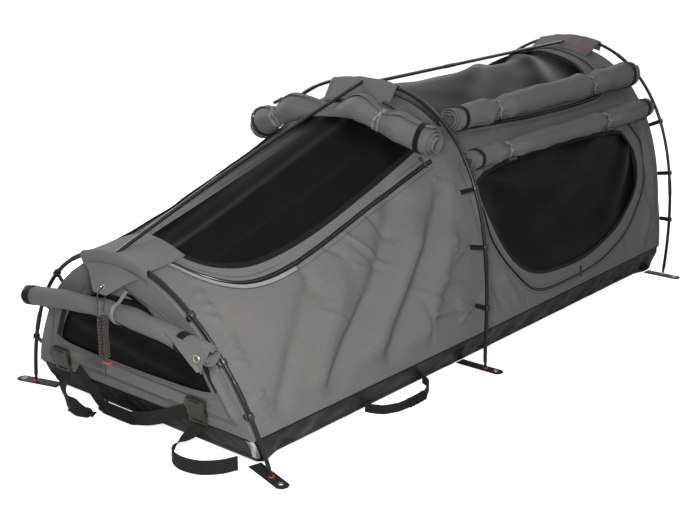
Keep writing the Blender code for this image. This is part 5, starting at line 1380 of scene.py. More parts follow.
def window_net_place(u, v):
    across = (2 * u - 1) * (WINDOW_HALF_WIDTH + WINDOW_NET_LAP)
    height = (WINDOW_SILL - WINDOW_NET_LAP
              + v * (WINDOW_HEAD - WINDOW_SILL + 2 * WINDOW_NET_LAP))
    slack = fade(u, 0.2) * fade(v, 0.2) * (0.006 + 0.0022 * np.sin(9 * u + 21 * v))
    return foot.place(across, height, 0.0030 + slack)


window_net = laid_grid("window_net", 120, 60, window_net_place,
                       (2 * WINDOW_HALF_WIDTH, WINDOW_HEAD - WINDOW_SILL))
thicken(window_net, NET)
trim(window_net, window_prism(offset_outline(window_outline, NET_LAP)), "INTERSECT")
dress(window_net, net_black, "root", ["foot_window_mesh"])
print("window net", len(window_net.data.vertices), "points")

# %% Trim on the foot panel
WINDOW_HEM = (0.0, 0.020)
WINDOW_STITCHES = (0.003, 0.017)
HOOK_TAPES = {"near": ((0.262, 0.292), (0.318, 0.190)), "far": ((-0.300, 0.188), (-0.245, 0.296))}
HOOK_TAPE_HALF = 0.008
LOW_HEM_ENDS = ((-0.372, 0.118), (0.372, 0.118))
LOW_STITCHES = (0.0, 0.006)


def panel_band(name, line, margins, lift, thickness, closed=True, rows=2):
    def lay(points):
        return panel_point(foot, points[:, 0], points[:, 1], PANEL_SETBACK + lift, -1.0,
                           PANEL_CREASES)

    return band_between(name, line, margins, thickness, lay, closed, rows, path_length(line))


def panel_stitch(name, line, margin, lift, closed):
    margins = (margin, margin + STITCH_WIDE)
    stitch = panel_band(f"{name}_stitch_{margin * 1000:.0f}", line, margins, lift,
                        STITCH_THICK, closed, 1)
    dress(stitch, stitch_grey)


dress(panel_band("window_hem", window_line, WINDOW_HEM, 0.0014, 0.0012), canvas_grey)
for margin in WINDOW_STITCHES:
    panel_stitch("window", window_line, margin, 0.0022, True)
for side, ends in HOOK_TAPES.items():
    dress(panel_band(f"{side}_hook_tape", even_line(ends, LINE_STEP),
                     (-HOOK_TAPE_HALF, HOOK_TAPE_HALF), 0.0022, 0.0016, False),
          tape_black)
for margin in LOW_STITCHES:
    panel_stitch("panel_low", even_line(LOW_HEM_ENDS, 0.01), margin, 0.0012, False)
print("window", len(window_line), "steps round")

# %% [markdown]
# Where the hoops cross the ridge, a canvas sleeve is saddled over the pole. Its section
# is a smooth curve from the cloth on one side, over the pole, to the cloth on the
# other; at the two ends of the tent it turns down as a short valance instead.

# %% Crown sleeves
SLEEVE_HALF_WIDTH = 0.125
SLEEVE_COLUMNS, SLEEVE_ROWS = 72, 36
SLEEVE_LIFT = 0.0009
SLEEVE_HEM = 0.0012
SLEEVE_RISE = POLE_RADIUS + 0.0016 + CANVAS
VALANCE_STANDOFF = 0.0055


def cloth_under(from_foot, across):
    """The canvas under a place in plan, on whichever section it falls."""
    section = foot_section if from_foot[0] + FOOT_STATION < mid.station else head_section
    return on_cloth(section, np.column_stack((across, from_foot)), SLEEVE_LIFT + CANVAS)


def sleeve(hoop, foot_reach, head_reach, foot_drop, head_drop):
    across = np.linspace(-1, 1, SLEEVE_COLUMNS + 1) * SLEEVE_HALF_WIDTH
    t = hoop.t_at(across)
    spine = hoop.at(t)
    out = hoop.outward(t) * SLEEVE_RISE
    side = np.where(across < 0, -1, 1)
    crown = hoop.place(side * (spine[:, 0] + out[:, 0]), spine[:, 1] + out[:, 1])

    def edge(reach, drop, way):
        if drop:
            return hoop.place(across, spine[:, 1] - drop, way * VALANCE_STANDOFF)
        plain = np.full(len(across), hoop.station - FOOT_STATION + way * reach)
        points = cloth_under(plain, across)
        points[:, 0] = across
        return points

    ends = edge(foot_reach, foot_drop, -1), edge(head_reach, head_drop, 1)
    over, down = ALONG * SLEEVE_RISE, UP * SLEEVE_RISE * 0.45
    shoulders = [end * 0.45 + (crown + over * way * 1.1) * 0.55 - UP * 0.004
                 for end, way in zip(ends, (-1, 1))]
    controls = [ends[0], shoulders[0], crown - over * 0.9 - down, crown,
                crown + over * 0.9 - down, shoulders[1], ends[1]]
    lines = np.array([smooth_path(line, SLEEVE_ROWS + 1) for line in np.stack(controls, axis=1)])

    def place(u, v):
        points = lines[at_index(u, SLEEVE_COLUMNS + 1), at_index(v, SLEEVE_ROWS + 1)]
        slack = ripples(points, 31, 0.05, 0.0010) * fade(v, 0.2) * fade(u, 0.1)
        return points + UP * slack[:, None]

    name, wide = hoop_names[hoop] + "_sleeve", 2 * SLEEVE_HALF_WIDTH
    long = path_length(lines[SLEEVE_COLUMNS // 2])
    piece = laid_grid(name + "_cloth", SLEEVE_COLUMNS, SLEEVE_ROWS, place, (wide, long))
    thicken(piece, CANVAS)
    dress(piece, canvas_grey, "root", [name], 50)
    for end, column, way in (("far", 2, -1), ("near", SLEEVE_COLUMNS - 2, 1)):
        line = lines[column] + UP * SLEEVE_HEM
        hem = ribbon(f"{name}_{end}_hem", line, np.array([0.0045, 0, -0.0015 * way]), SLEEVE_HEM)
        dress(hem, canvas_grey)
    return lines


VALANCE_DROP = 0.026
sleeve(foot, 0, 0.060, VALANCE_DROP, 0)
mid_sleeve_lines = sleeve(mid, 0.034, 0.048, 0, 0)
head_sleeve_lines = sleeve(head, 0.060, 0, 0, VALANCE_DROP)
print("three sleeves, valances", VALANCE_DROP * 1000, "mm deep")

# %% [markdown]
# The poles are drawn tube in lengths that plug together, so each shows slightly
# thicker ferrules, and each hoop ends in thin tips that stand in the peg tabs. A pole
# is one wrapped grid whose radius changes along it; a bevelled curve couldn't step so.
# Red rings sit on the hoops' tips and where the ridge poles enter the sleeves.

# %% Hoops and ridge poles
POLE_TIP_RADIUS = 0.004
POLE_TIP_LENGTH = 0.022
FERRULE_SHARES = (0.30, 0.78)
FERRULE_HALF = 0.030
FERRULE_SWELL = 0.0009
FERRULE_RAMP = 0.002
HOOP_STEPS = 210
TIP_RING = (0.0062, 0.0016)


def stepped_radius(path, ferrules):
    walked = walked_along(path)
    radius = np.full(len(path), POLE_RADIUS)
    for share in ferrules:
        off = np.abs(walked - share * walked[-1])
        radius += FERRULE_SWELL * np.clip((FERRULE_HALF - off) / FERRULE_RAMP, 0, 1)
    return radius


def ring(name, centre, axis, sizes, material, body="root"):
    """A small round ring about an axis, its sizes the two radii of a torus."""
    axis = unit(np.asarray(axis, float))
    first = unit(np.cross(axis, (0.31, 0.92, 0.23)))
    second = np.cross(axis, first)
    turns = np.linspace(0, 2 * math.pi, 33)[:, None]
    path = np.asarray(centre) + sizes[0] * (first * np.cos(turns) + second * np.sin(turns))
    dress(tube(name, path, sizes[1], 10, False), material, body)


def pole(name, path, radius, node_name):
    dress(tube(name, path, radius, 16), pole_black, "root", [node_name], 30)


for hoop, name in hoop_names.items():
    shares = np.linspace(0, 1, HOOP_STEPS)
    half = hoop.at(np.concatenate((shares, shares[-2::-1])))
    side = np.where(np.arange(len(half)) < HOOP_STEPS, 1, -1)
    path = hoop.place(half[:, 0] * side, np.maximum(half[:, 1], POLE_TIP_RADIUS + 0.0006))[1:-1]
    joints = [share / 2 for share in FERRULE_SHARES]
    radius = stepped_radius(path, joints + [1 - share for share in joints])
    radius = np.where(path[:, 2] < POLE_TIP_LENGTH, POLE_TIP_RADIUS, radius)
    pole(name + "_pole", path, radius, name + "_hoop")
    for side_name, end in (("near", path[0]), ("far", path[-1])):
        ring(f"{name}_{side_name}_tip_ring", (end[0], end[1], 0.0045), UP, TIP_RING, runner_red)
print("hoops", round(path_length(path), 2), "m round the last")

# %% Ridge poles
RIDGE_STEPS = 160
RIDGE_BOW = 0.012
RIDGE_FERRULES = (0.36, 0.70)
RIDGE_RING = (0.0072, 0.0014)
SLEEVE_EYELET = (0.0075, 0.0024)


def ridge_pole(name, first, last, drop):
    """From crown to crown: butted and bowed up where it has no drop, else hung under."""
    start = first.place(0, first.height - drop)
    end = last.place(0, last.height - drop)
    if not drop:
        way = unit(end - start)
        square = POLE_RADIUS / abs(way[1]) + POLE_RADIUS * abs(way[2]) + 0.0003
        start, end = start + way * square, end - way * square
    share = np.linspace(0, 1, RIDGE_STEPS)[:, None]
    bow = UP * (0.0 if drop else RIDGE_BOW)
    path = start + (end - start) * share + bow * np.sin(math.pi * share)
    pole(name + "_tube", path, stepped_radius(path, RIDGE_FERRULES), name + "_pole")
    return path


def ridge_ring(name, path, lines):
    """A red ring where a ridge pole passes through a sleeve's middle line."""
    line = lines[len(lines) // 2]
    gaps = np.linalg.norm(path[:, None, 1:] - line[None, :, 1:], axis=2)
    i = min(max(int(np.argmin(gaps.min(axis=1))), 1), len(path) - 2)
    ring(name, path[i], path[i + 1] - path[i - 1], RIDGE_RING, runner_red)


foot_ridge = ridge_pole("foot_ridge", foot, mid, 0.0)
head_ridge = ridge_pole("head_ridge", mid, head, 2 * POLE_RADIUS + 0.0005)
middle = RIDGE_STEPS // 2
ridge_ring("mid_foot_side_ring", foot_ridge[middle:], mid_sleeve_lines[:, :18])
ridge_ring("mid_head_side_ring", head_ridge[:middle], mid_sleeve_lines[:, 18:])
ridge_ring("head_ridge_ring", head_ridge[middle:], head_sleeve_lines[:, :18])
ring("head_sleeve_eyelet", head_sleeve_lines[62, 8] + (0.001, -0.001, 0.002),
     (0.45, -0.35, 0.82), SLEEVE_EYELET, runner_red)
print("ridge", round(path_length(foot_ridge), 2), "and", round(path_length(head_ridge), 2), "m")

# %% [markdown]
# A rolled cover is one long grid wound into a spiral, with open ends that show every
# turn, the inner ones slipped out or in. At each tie place two grey ties cross and
# draw the roll in, and small pleats ray out from them; black bands hold it near its
# ends. A cloth simulation could roll it only by luck, so the winding is a formula.

# %% Rolled covers
ROLL_TURNS = 3
ROLL_CORE_SHARE = 0.50
ROLL_CLOTH = 0.0024
TURN_POINTS = 34
PINCH_SHARE = 0.74
PINCH_REACH = 0.070
TELESCOPE_REACH = 0.055
OUTER_SHARE = 0.97
RAYS, PUFF, GROOVE, LUMPS = 0.15, 0.08, 0.12, 0.045
RAY_REACH = 0.034
PUFF_PLACE, PUFF_HALF = 0.060, 0.024
GROOVE_HALF = 0.014
BAND_STEPS = 4
END_BAND_INSET = 0.034
TIE_LEAN = 0.009


class Roll:
    """A rolled cover: its centre line, section axes and how it is drawn in by ties."""

    def __init__(self, name, centres, normals, thick, full, ties, seed, turns=ROLL_TURNS,
                 core=ROLL_CORE_SHARE, telescope=(0.016, 0.012)):
        self.name, self.centres, self.seed = name, centres, seed
        self.turns, self.core, self.telescope = turns, core, telescope
        self.pitch = (OUTER_SHARE - core) / turns
        self.ways = unit(np.gradient(centres, axis=0))
        self.up = square_to(self.ways, normals)
        self.side = np.cross(self.up, self.ways)
        self.thick, self.full = thick, full
        self.walked = walked_along(centres)
        self.tie_places = [self.walked[tie] for tie in ties]

    def point(self, i, turn, grow=0.0):
        """On the cloth at step i and a number of turns from the core."""
        angle = 2 * math.pi * turn
        share = self.core + self.pitch * turn
        loose = np.zeros(np.shape(angle))
        for place in self.tie_places:
            off = self.walked[i] - place
            ray = np.sin(5 * angle + 3 * np.sin(angle) + 9 * off)
            loose += RAYS * np.exp(-np.abs(off) / RAY_REACH) * ray
            loose += PUFF * bell(np.abs(off), PUFF_PLACE, PUFF_HALF)
            loose -= GROOVE * bell(off, 0, GROOVE_HALF)
        slow = np.sin(self.walked[i] * 21 + 2 * angle + self.seed)
        slow += 0.7 * np.sin(self.walked[i] * 47 - angle + 2 * self.seed)
        share = share * (1 + loose + LUMPS * slow) + grow / self.full[i]
        out = (self.up[i] * (self.thick[i] * share * np.cos(angle))[:, None]
               + self.side[i] * (self.full[i] * share * np.sin(angle))[:, None])
        inner = 1 - turn / self.turns
        first = np.clip(1 - self.walked[i] / TELESCOPE_REACH, 0, 1)
        last = np.clip(1 - (self.walked[-1] - self.walked[i]) / TELESCOPE_REACH, 0, 1)
        slip = (self.telescope[1] * last - self.telescope[0] * first) * inner
        return self.centres[i] + out + self.ways[i] * slip[:, None]

    def lay(self, node_name):
        columns = len(self.centres) - 1
        rows = self.turns * TURN_POINTS

        def place(u, v):
            return self.point(at_index(u, columns + 1), self.turns * v)

        long = float(self.walked[-1])
        mean = float(np.mean((self.thick + self.full) / 2)) * (self.core + 1) / 2
        piece = laid_grid(self.name, columns, rows, place,
                          (long, 2 * math.pi * mean * self.turns))
        thicken(piece, ROLL_CLOTH)
        dress(piece, canvas_grey, "root", [node_name], 40)

    def band(self, name, centre, width, grow, thickness, material, lean=0.0):
        """A band round the roll at a distance along it; a leaning one runs aslant."""
        stations = np.linspace(centre - width / 2, centre + width / 2, BAND_STEPS + 1)

        def place(u, v):
            along = stations[at_index(v, BAND_STEPS + 1)] + lean * np.sin(2 * math.pi * u)
            i = np.clip(np.searchsorted(self.walked, along), 1, len(self.walked) - 1)
            share = (along - self.walked[i - 1]) / (self.walked[i] - self.walked[i - 1])
            last = self.turns - 1 + u
            step = grow + self.pitch * self.full[i] * (1 - smooth_step(u / 0.18))
            low, high = self.point(i - 1, last, step), self.point(i, last, step)
            return low * (1 - share[:, None]) + high * share[:, None]

        size = (2 * math.pi * float(self.full.mean()), width)
        piece = laid_grid(name, 64, BAND_STEPS, place, size)
        thicken(piece, thickness)
        dress(piece, material)

    def bands(self):
        for end, place in (("first", END_BAND_INSET), ("last", self.walked[-1] - END_BAND_INSET)):
            self.band(f"{self.name}_{end}_band", place, 0.015, 0.0028, 0.0018, binding_black)
        for i, place in enumerate(self.tie_places, 1):
            for way, lean in (("a", TIE_LEAN), ("b", -TIE_LEAN)):
                self.band(f"{self.name}_tie_{i}{way}", place, 0.006, 0.0036 + TIE_LEAN / 20,
                          0.0016, webbing_grey, lean)


def pinch(distance):
    """How far the section is drawn in at a distance from the nearest tie."""
    return PINCH_SHARE + (1 - PINCH_SHARE) * smooth_step(np.abs(distance) / PINCH_REACH)


# %% The three large rolls
TOP_ROLL_STATION_SHARES = (
    (0.632, 0.930), (0.675, 0.905), (0.732, 0.882), (0.780, 0.870), (0.808, 0.866),
    (0.836, 0.862), (0.885, 0.855), (0.945, 0.850), (1.0, 0.842), (1.06, 0.828),
    (1.115, 0.815), (1.164, 0.806), (1.192, 0.806), (1.215, 0.808), (1.255, 0.817),
    (1.290, 0.828), (1.325, 0.842))
TOP_ROLL_TIE_SHARES = (0.808, 1.192)
TOP_ROLL_RADIUS = 0.043
TOP_ROLL_FLAT_HALF = 0.0095
TOP_ROLL_FLAT_REACH = 0.110
TOP_ROLL_BEND_REACH = 0.130
TOP_ROLL_BEND_UP, TOP_ROLL_BEND_OUT = 0.042, 0.034
TOP_ROLL_STEPS = 130
SIDE_ROLL_STEPS = 170
REST_SHARE = 0.90
REST_GAP = 0.0006


def top_roll():
    """Across the ridge, flattened over the pole, its near end bent up and outward."""
    stations = np.array(TOP_ROLL_STATION_SHARES)
    route = smooth_path(np.column_stack((stations, np.zeros(len(stations)))), TOP_ROLL_STEPS)
    arch, run = route[:, 0], route[:, 1]
    points = foot_section.smooth(run, arch)
    normals = foot_section.normal(run, arch)
    ties = [int(np.argmin(np.abs(arch - share))) for share in TOP_ROLL_TIE_SHARES]
    away = np.min([np.linalg.norm(points - points[tie], axis=1) for tie in ties], axis=0)
    full = TOP_ROLL_RADIUS * pinch(away)
    flat = smooth_step(np.abs(points[:, 0]) / TOP_ROLL_FLAT_REACH)
    thick = np.minimum(TOP_ROLL_FLAT_HALF + (full - TOP_ROLL_FLAT_HALF) * flat, full)
    bend = np.clip(1 - walked_along(points) / TOP_ROLL_BEND_REACH, 0, 1) ** 2
    centres = points + normals * (thick * REST_SHARE + REST_GAP)[:, None]
    centres += bend[:, None] * (normals * TOP_ROLL_BEND_UP - ALONG * TOP_ROLL_BEND_OUT)
    return Roll("top_cover_rolled", centres, normals, thick, full, ties, 1.0,
                telescope=(0.026, 0.014))


def side_roll(name, share, start, end, radii, tie_places, seed):
    """Along the bed at one arch share, a little fuller toward the head end."""
    from_foot = np.linspace(start, end, SIDE_ROLL_STEPS)
    run = (FOOT_STATION + from_foot - mid.station) / (head.station - mid.station)
    arch = np.full(len(run), share)
    points = head_section.smooth(run, arch)
    normals = head_section.normal(run, arch)
    grown = np.linspace(0, 1, len(run))
    away = np.min([np.abs(from_foot - tie) for tie in tie_places], axis=0)
    radius = (radii[0] + (radii[1] - radii[0]) * grown) * pinch(away)
    centres = points + normals * (radius * REST_SHARE + REST_GAP)[:, None]
    ties = [int(np.argmin(np.abs(from_foot - tie))) for tie in tie_places]
    return Roll(name, centres, normals, radius, radius, ties, seed)


rolls = {
    "top_cover_roll": top_roll(),
    "skylight_roll": side_roll("skylight_cover_rolled", 0.690, 0.962, 2.052, (0.040, 0.047),
                               (1.197, 1.765), 2.0),
    "door_roll": side_roll("door_cover_rolled", 0.545, 0.955, 2.048, (0.030, 0.037),
                           (1.157, 1.755), 3.0)}
for node_name, roll in rolls.items():
    roll.lay(node_name)
    roll.bands()
    print(node_name, round(float(roll.walked[-1]), 2), "m long")

# %% [markdown]
# The foot window's cover is rolled the same way but loosely. One grey strap comes down
# from the valance, round its front and under it, and a black band holds each end. Its
# near corner has come out of the roll and hangs as a flap with its eyelet showing.

# %% Foot cover
FOOT_ROLL_HALF = 0.350
FOOT_ROLL_RADIUS = 0.027
FOOT_ROLL_HEIGHT = 0.335
FOOT_ROLL_DROOP = 0.030
FOOT_ROLL_TIE = 0.021
FOOT_ROLL_STEPS = 120
FOOT_ROLL_TURNS = 2
FOOT_ROLL_CORE = 0.70
FOOT_BANDS = {"far": 0.016, "near": -0.086}  # a place under 0 counts from the near end
STRAP_STANDOFF = 0.0042
STRAP_HALF = 0.0055
STRAP_LAP_DEG = (5, 220)


def foot_roll_radius(across):
    return FOOT_ROLL_RADIUS * (0.88 + 0.12 * smooth_step(np.abs(across) / 0.140))


def foot_roll():
    across = np.linspace(-FOOT_ROLL_HALF, FOOT_ROLL_HALF, FOOT_ROLL_STEPS)
    height = FOOT_ROLL_HEIGHT - FOOT_ROLL_DROOP * (across / FOOT_ROLL_HALF) ** 2
    radius = foot_roll_radius(across)
    standoff = radius + 2 * CANVAS + POLE_RADIUS * smooth_step(np.abs(across) / FOOT_ROLL_HALF)
    centres = foot.place(across, height, -standoff)
    ups = np.tile((0, -0.5, 0.866), (len(across), 1))
    tie = int(np.argmin(np.abs(across - FOOT_ROLL_TIE)))
    return Roll("foot_cover_rolled", centres, ups, radius, radius, [tie], 4.0,
                FOOT_ROLL_TURNS, FOOT_ROLL_CORE)


foot_cover = foot_roll()
foot_cover.lay("foot_window_roll")
for end, place in FOOT_BANDS.items():
    foot_cover.band(f"foot_cover_{end}_band", place % foot_cover.walked[-1], 0.024, 0.0018,
                    0.0016, binding_black)
lap = np.radians(np.linspace(*STRAP_LAP_DEG, 16))[:, None]
strap_step = int(np.argmin(np.abs(foot_cover.centres[:, 0] - FOOT_ROLL_TIE)))
strap_loop = (foot_cover.full[strap_step] + STRAP_STANDOFF) * (UP * np.cos(lap)
                                                               - ALONG * np.sin(lap))
strap_top = foot.place(FOOT_ROLL_TIE + 0.012, 0.392, -0.006)
strap_path = smooth_path(np.vstack((strap_top, foot_cover.centres[strap_step] + strap_loop)), 60)
dress(ribbon("foot_cover_strap", strap_path, ACROSS * STRAP_HALF, 0.0016), webbing_grey,
      "root", ["foot_roll_strap"])
print("foot cover", round(float(foot_cover.walked[-1]), 2), "m")

# %% Loose corner of the foot cover
CORNER_STEPS = 24
CORNER_EYELET = (0.0080, 0.0024)
corner_high = foot_cover.centres[-CORNER_STEPS:] + (0.006, -0.028, 0.022)
corner_tip = foot_cover.centres[-1] + (0.010, -0.040, -0.030)


def corner_place(u, v):
    top = corner_high[at_index(u, CORNER_STEPS)]
    tip = corner_tip + (top - corner_high[-1]) * 0.10
    fold = 0.004 * np.sin(5 * u + 2 * v) * v
    return top * (1 - v[:, None]) + tip * v[:, None] - ALONG * fold[:, None]


corner = laid_grid("foot_cover_corner", 30, 24, corner_place, (0.09, 0.06))
edit(corner, SELECT_ALL, (ops.remove_doubles, {"threshold": WELD_REACH}))
thicken(corner, CANVAS)
dress(corner, canvas_grey)
eyelet_at = corner_high[18] * 0.55 + corner_tip * 0.45 + (0, -0.004, 0)
ring("foot_corner_eyelet", eyelet_at, (0.15, -1, 0.1), CORNER_EYELET, eyelet_metal)
print("corner of", len(corner.data.vertices), "points")

# %% [markdown]
# The awning is a small flap that the guy draws out over the foot window. It swings on
# the valance, so it rides its own body, with a hem on its two slanting edges and an
# eyelet for the guy.

# %% Foot awning
AWNING_TOP_HALF = 0.108
AWNING_FOOT_HALF = 0.023
AWNING_LENGTH = 0.078
AWNING_LIFT = math.radians(37.0)
EYELET_INSET = 0.017
EYELET_RADIUS = 0.0055
AWNING_SAG = 0.0016
AWNING_HEM_SHARE = 0.955
awning_hinge = foot.place(0.0, foot.height - 0.026 - 0.0006, -0.0040 - 2 * CANVAS)
awning_down = np.array([0, -math.sin(AWNING_LIFT), -math.cos(AWNING_LIFT)])
awning_front = np.array([0, -math.cos(AWNING_LIFT), math.sin(AWNING_LIFT)])


def awning_point(across_share, down_share, lift=0.0):
    half = AWNING_TOP_HALF + (AWNING_FOOT_HALF - AWNING_TOP_HALF) * down_share
    across = across_share * half
    spine = foot.at(foot.t_at(across * (1 - down_share)))[..., 1] - foot.height
    sag = AWNING_SAG * np.sin(3.1 * across_share + 1) * down_share * (1 - down_share) * 4
    return (awning_hinge + across[:, None] * ACROSS
            + awning_down * (down_share * AWNING_LENGTH - spine * (1 - down_share))[:, None]
            + awning_front * (lift + sag)[:, None])


flap = laid_grid("awning_flap", 60, 36, lambda u, v: awning_point(2 * u - 1, v),
                 (2 * AWNING_TOP_HALF, AWNING_LENGTH))
thicken(flap, CANVAS)
eyelet = awning_hinge + awning_down * (AWNING_LENGTH - EYELET_INSET)
turns = np.linspace(0, 2 * math.pi, 20, endpoint=False)[:, None]
hole = eyelet + EYELET_RADIUS * (ACROSS * np.cos(turns) + awning_down * np.sin(turns))
trim(flap, prism(hole - awning_front * 0.02, tuple(awning_front * 0.04)), "DIFFERENCE")
dress(flap, canvas_grey, "awning", ["foot_awning"])
for side_name, way in SIDES.items():
    down = np.linspace(0.02, 0.98, 40)
    edge_line = awning_point(np.full(40, AWNING_HEM_SHARE * way), down, 0.0012)
    inner = unit(awning_down * 0.2 - ACROSS * way) * 0.0045
    dress(ribbon(f"awning_{side_name}_hem", edge_line, inner, 0.0014), canvas_grey,
          "awning")
ring("awning_eyelet", eyelet + awning_front * 0.001, awning_front,
     (EYELET_RADIUS + 0.0004, 0.0016), eyelet_metal, "awning")
print("awning eyelet at", [round(float(x), 3) for x in eyelet])

# %% [markdown]
# Clips, buckles, sliders, peg tabs and the runner have their real shape in the packed
# model already. Each is copied from it, its loose faces merged, and its edges rounded
# with a bevel, as a mould would round them. The clips of the far side, which the packed
# model leaves out, are the near ones mirrored.

# %% Small moulded parts
def rounded_copy(node_name, material, body="root", width=0.0006,
                 segments=2):
    """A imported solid's own shape with rounded edges, standing for it."""
    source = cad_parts[node_name]
    piece = bpy.data.objects.new(node_name + "_rounded", source.data.copy())
    bpy.context.collection.objects.link(piece)
    edit(piece, SELECT_ALL, (ops.remove_doubles, {"threshold": 1e-5}),
         (ops.tris_convert_to_quads, {}), FACE_OUT)
    apply_modifier(piece, "BEVEL", width=width, segments=segments, limit_method="ANGLE",
                   angle_limit=math.radians(35), use_clamp_overlap=True)
    return dress(piece, material, body, [node_name], 40)


def unparent(piece):
    piece.parent = None
    piece.matrix_world = Matrix.Identity(4)


def mirrored_copy(piece, name):
    """The same moulding on the far side."""
    twin = piece.copy()
    twin.data = piece.data.copy()
    twin.name = twin.data.name = name
    bpy.context.collection.objects.link(twin)
    unparent(twin)
    set_points(twin, mesh_points(twin) * (-1, 1, 1))
    edit(twin, SELECT_ALL, (ops.flip_normals, {}))
    return twin


PATCH_RUNS = {foot: (0.004, 0.036), mid: (0.964, 0.996), head: (0.972, 0.997)}
PATCH_HALF = 0.0085
LOOP_HALF = 0.0042


def clip_tab(hoop, number, t, side_name):
    """The webbing loop that ties a clip to the canvas, with its sewn patch."""
    side = SIDES[side_name]
    share = float(np.interp(t, hoop.t_table, hoop.share_table))
    section = head_section if hoop is head else foot_section
    runs = np.linspace(*PATCH_RUNS[hoop], 10)
    arch = np.full(10, share if side > 0 else 2 - share)
    points = section.at(runs, arch, 0.0012)
    over = unit(section.ways(runs, arch)[1]) * PATCH_HALF
    name = f"{hoop_names[hoop]}_{side_name}_clip_tab_{number}"
    dress(ribbon(name, points, over, 0.0014), canvas_grey)
    inset = float(np.interp(share, INSET_STATION_SHARES, hoop.insets))
    flat = hoop.at(t)
    out = hoop.outward(t)
    reach = np.linspace(inset + 0.002, inset * 0.52, 8)
    loop = np.array([hoop.place(*(flat - out * r)) for r in reach]) * (side, 1, 1)
    way = hoop.slope(t)
    along = unit(np.array([way[0] * side, hoop.lean * way[1], way[1]])) * LOOP_HALF
    dress(ribbon(name + "_loop", loop, along, 0.0018), webbing_black)


for hoop, shares in CLIP_SHARES.items():
    for number, t in enumerate(shares, 1):
        clip = rounded_copy(f"{hoop_names[hoop]}_hook_clip_{number}", moulded_black)
        twin = mirrored_copy(clip, f"{hoop_names[hoop]}_far_hook_clip_{number}")
        dress(twin, moulded_black)
        for side_name in SIDES:
            clip_tab(hoop, number, t, side_name)
print(sum(map(len, CLIP_SHARES.values())), "clips a side")

# %% [markdown]
# The toggles that hold the ties are little bars with full ends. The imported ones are
# plain, so each is made anew along its long axis, as a tube whose radius follows a
# bar's outline, and it rides the toggle's own body.

# %% Buckles, toggles, sliders and the runner
BUCKLE_ROUND = {"socket": 0.0014, "prong": 0.0012}
TOGGLES = {"top_cover_roll": ("top_toggle_near", "top_toggle_far"),
           "skylight_roll": ("skylight_toggle_1", "skylight_toggle_2"),
           "door_roll": ("door_toggle_1", "door_toggle_2")}
TOGGLE_RADIUS = 0.0056
TOGGLE_LIFT = 0.0040
TOGGLE_WAIST = 0.12
for side_name in ("left", "right"):
    for part, width in BUCKLE_ROUND.items():
        rounded_copy(f"{side_name}_buckle_{part}", buckle_olive,
                     side_name + "_prong" if part == "prong" else "root", width, 3)


def toggle_bar(node_name, roll):
    """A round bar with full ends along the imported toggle's long axis."""
    points = mesh_points(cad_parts[node_name])
    centre = (points.max(axis=0) + points.min(axis=0)) / 2
    axis = np.linalg.svd(points - points.mean(axis=0), full_matrices=False)[2][0]
    half = np.abs((points - centre) @ axis).max()
    near = roll.centres[int(np.argmin(np.linalg.norm(roll.centres - centre, axis=1)))]
    along = np.linspace(-1, 1, 33)
    path = centre + unit(centre - near) * TOGGLE_LIFT + axis * (along * half)[:, None]
    radius = TOGGLE_RADIUS * (1 - 0.98 * np.abs(along) ** 14) ** 0.5
    radius = radius * (1 - TOGGLE_WAIST * np.cos(math.pi * along / 2) ** 8)
    dress(tube(node_name + "_bar", path, radius, 20), moulded_black, node_name,
          [node_name], 50)


for roll_name, toggles in TOGGLES.items():
    for toggle in toggles:
        toggle_bar(toggle, rolls[roll_name])
for opening in ("door", "top"):
    rounded_copy(opening + "_zip_slider", moulded_black, opening + "_slider",
                 0.0008, 3)
runner = rounded_copy("guy_runner", runner_red, "guy_runner", 0.0009, 3)

# %% [markdown]
# The peg tabs are webbing too, each with a brass eyelet near its end. They take their
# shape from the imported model, with an eyelet ring at the hole.

# %% Peg tabs
PEG_TAB_END = 0.530
PEG_HOLE_INSET = 0.022
PEG_EYELET = (0.0062, 0.0014)
FOOT_TAB_TURN_DEG = -16.0
for hoop, name in hoop_names.items():
    for side_name, side in SIDES.items():
        node_name = f"{name}_peg_tab_{side_name}"
        rounded_copy(node_name, webbing_black, width=0.0005)
        reach = PEG_TAB_END - hoop.cage[0, 0] - PEG_HOLE_INSET
        turn = math.radians(FOOT_TAB_TURN_DEG if hoop is foot else 0)
        place = (side * (hoop.cage[0, 0] + reach * math.cos(turn)),
                 hoop.station + reach * math.sin(turn), 0.0026)
        ring(node_name + "_eyelet", place, UP, PEG_EYELET, eyelet_metal)
print(len(hoop_names) * len(SIDES), "peg tabs")

# %% [markdown]
# Webbing straps keep their width and bend only the easy way, so each is a ribbon on a
# listed route, whose last two columns say how far its width is turned on edge and
# laid along the bed. The imported model has the same routes.

# %% Straps at the foot
WEBBING = 0.0016
STRAP_WIDTH = 0.038
BUCKLE_ACROSS = {"left": -0.300, "right": 0.238}
BUCKLE_TOP = 0.150
BUCKLE_DEPTH = 0.013
BUCKLE_LENGTH = 0.0666
STRAP_ROUTES = {
    "left": ((-0.272, -0.043, 0.046, 0.5, 0.0), (-0.238, -0.062, 0.026, 1.0, 0.0),
             (-0.205, -0.068, 0.0200, 1.0, 0.1), (-0.180, -0.062, 0.0080, 0.6, 0.9),
             (-0.160, -0.054, 0.0013, 0.5, 1.0), (-0.145, -0.044, 0.0013, 0.5, 1.0)),
    "right": ((0.214, -0.055, 0.044, 0.5, 0.0), (0.212, -0.082, 0.028, 1.0, 0.0),
              (0.232, -0.103, 0.0205, 1.0, 0.0), (0.275, -0.113, 0.0198, 1.0, 0.0),
              (0.325, -0.101, 0.0198, 1.0, 0.0), (0.361, -0.065, 0.0198, 1.0, 0.0),
              (0.378, -0.025, 0.0198, 1.0, 0.0))}
STRAP_STEPS = 110
GROMMET_STEP = 42
GROMMET = (0.0050, 0.0014)


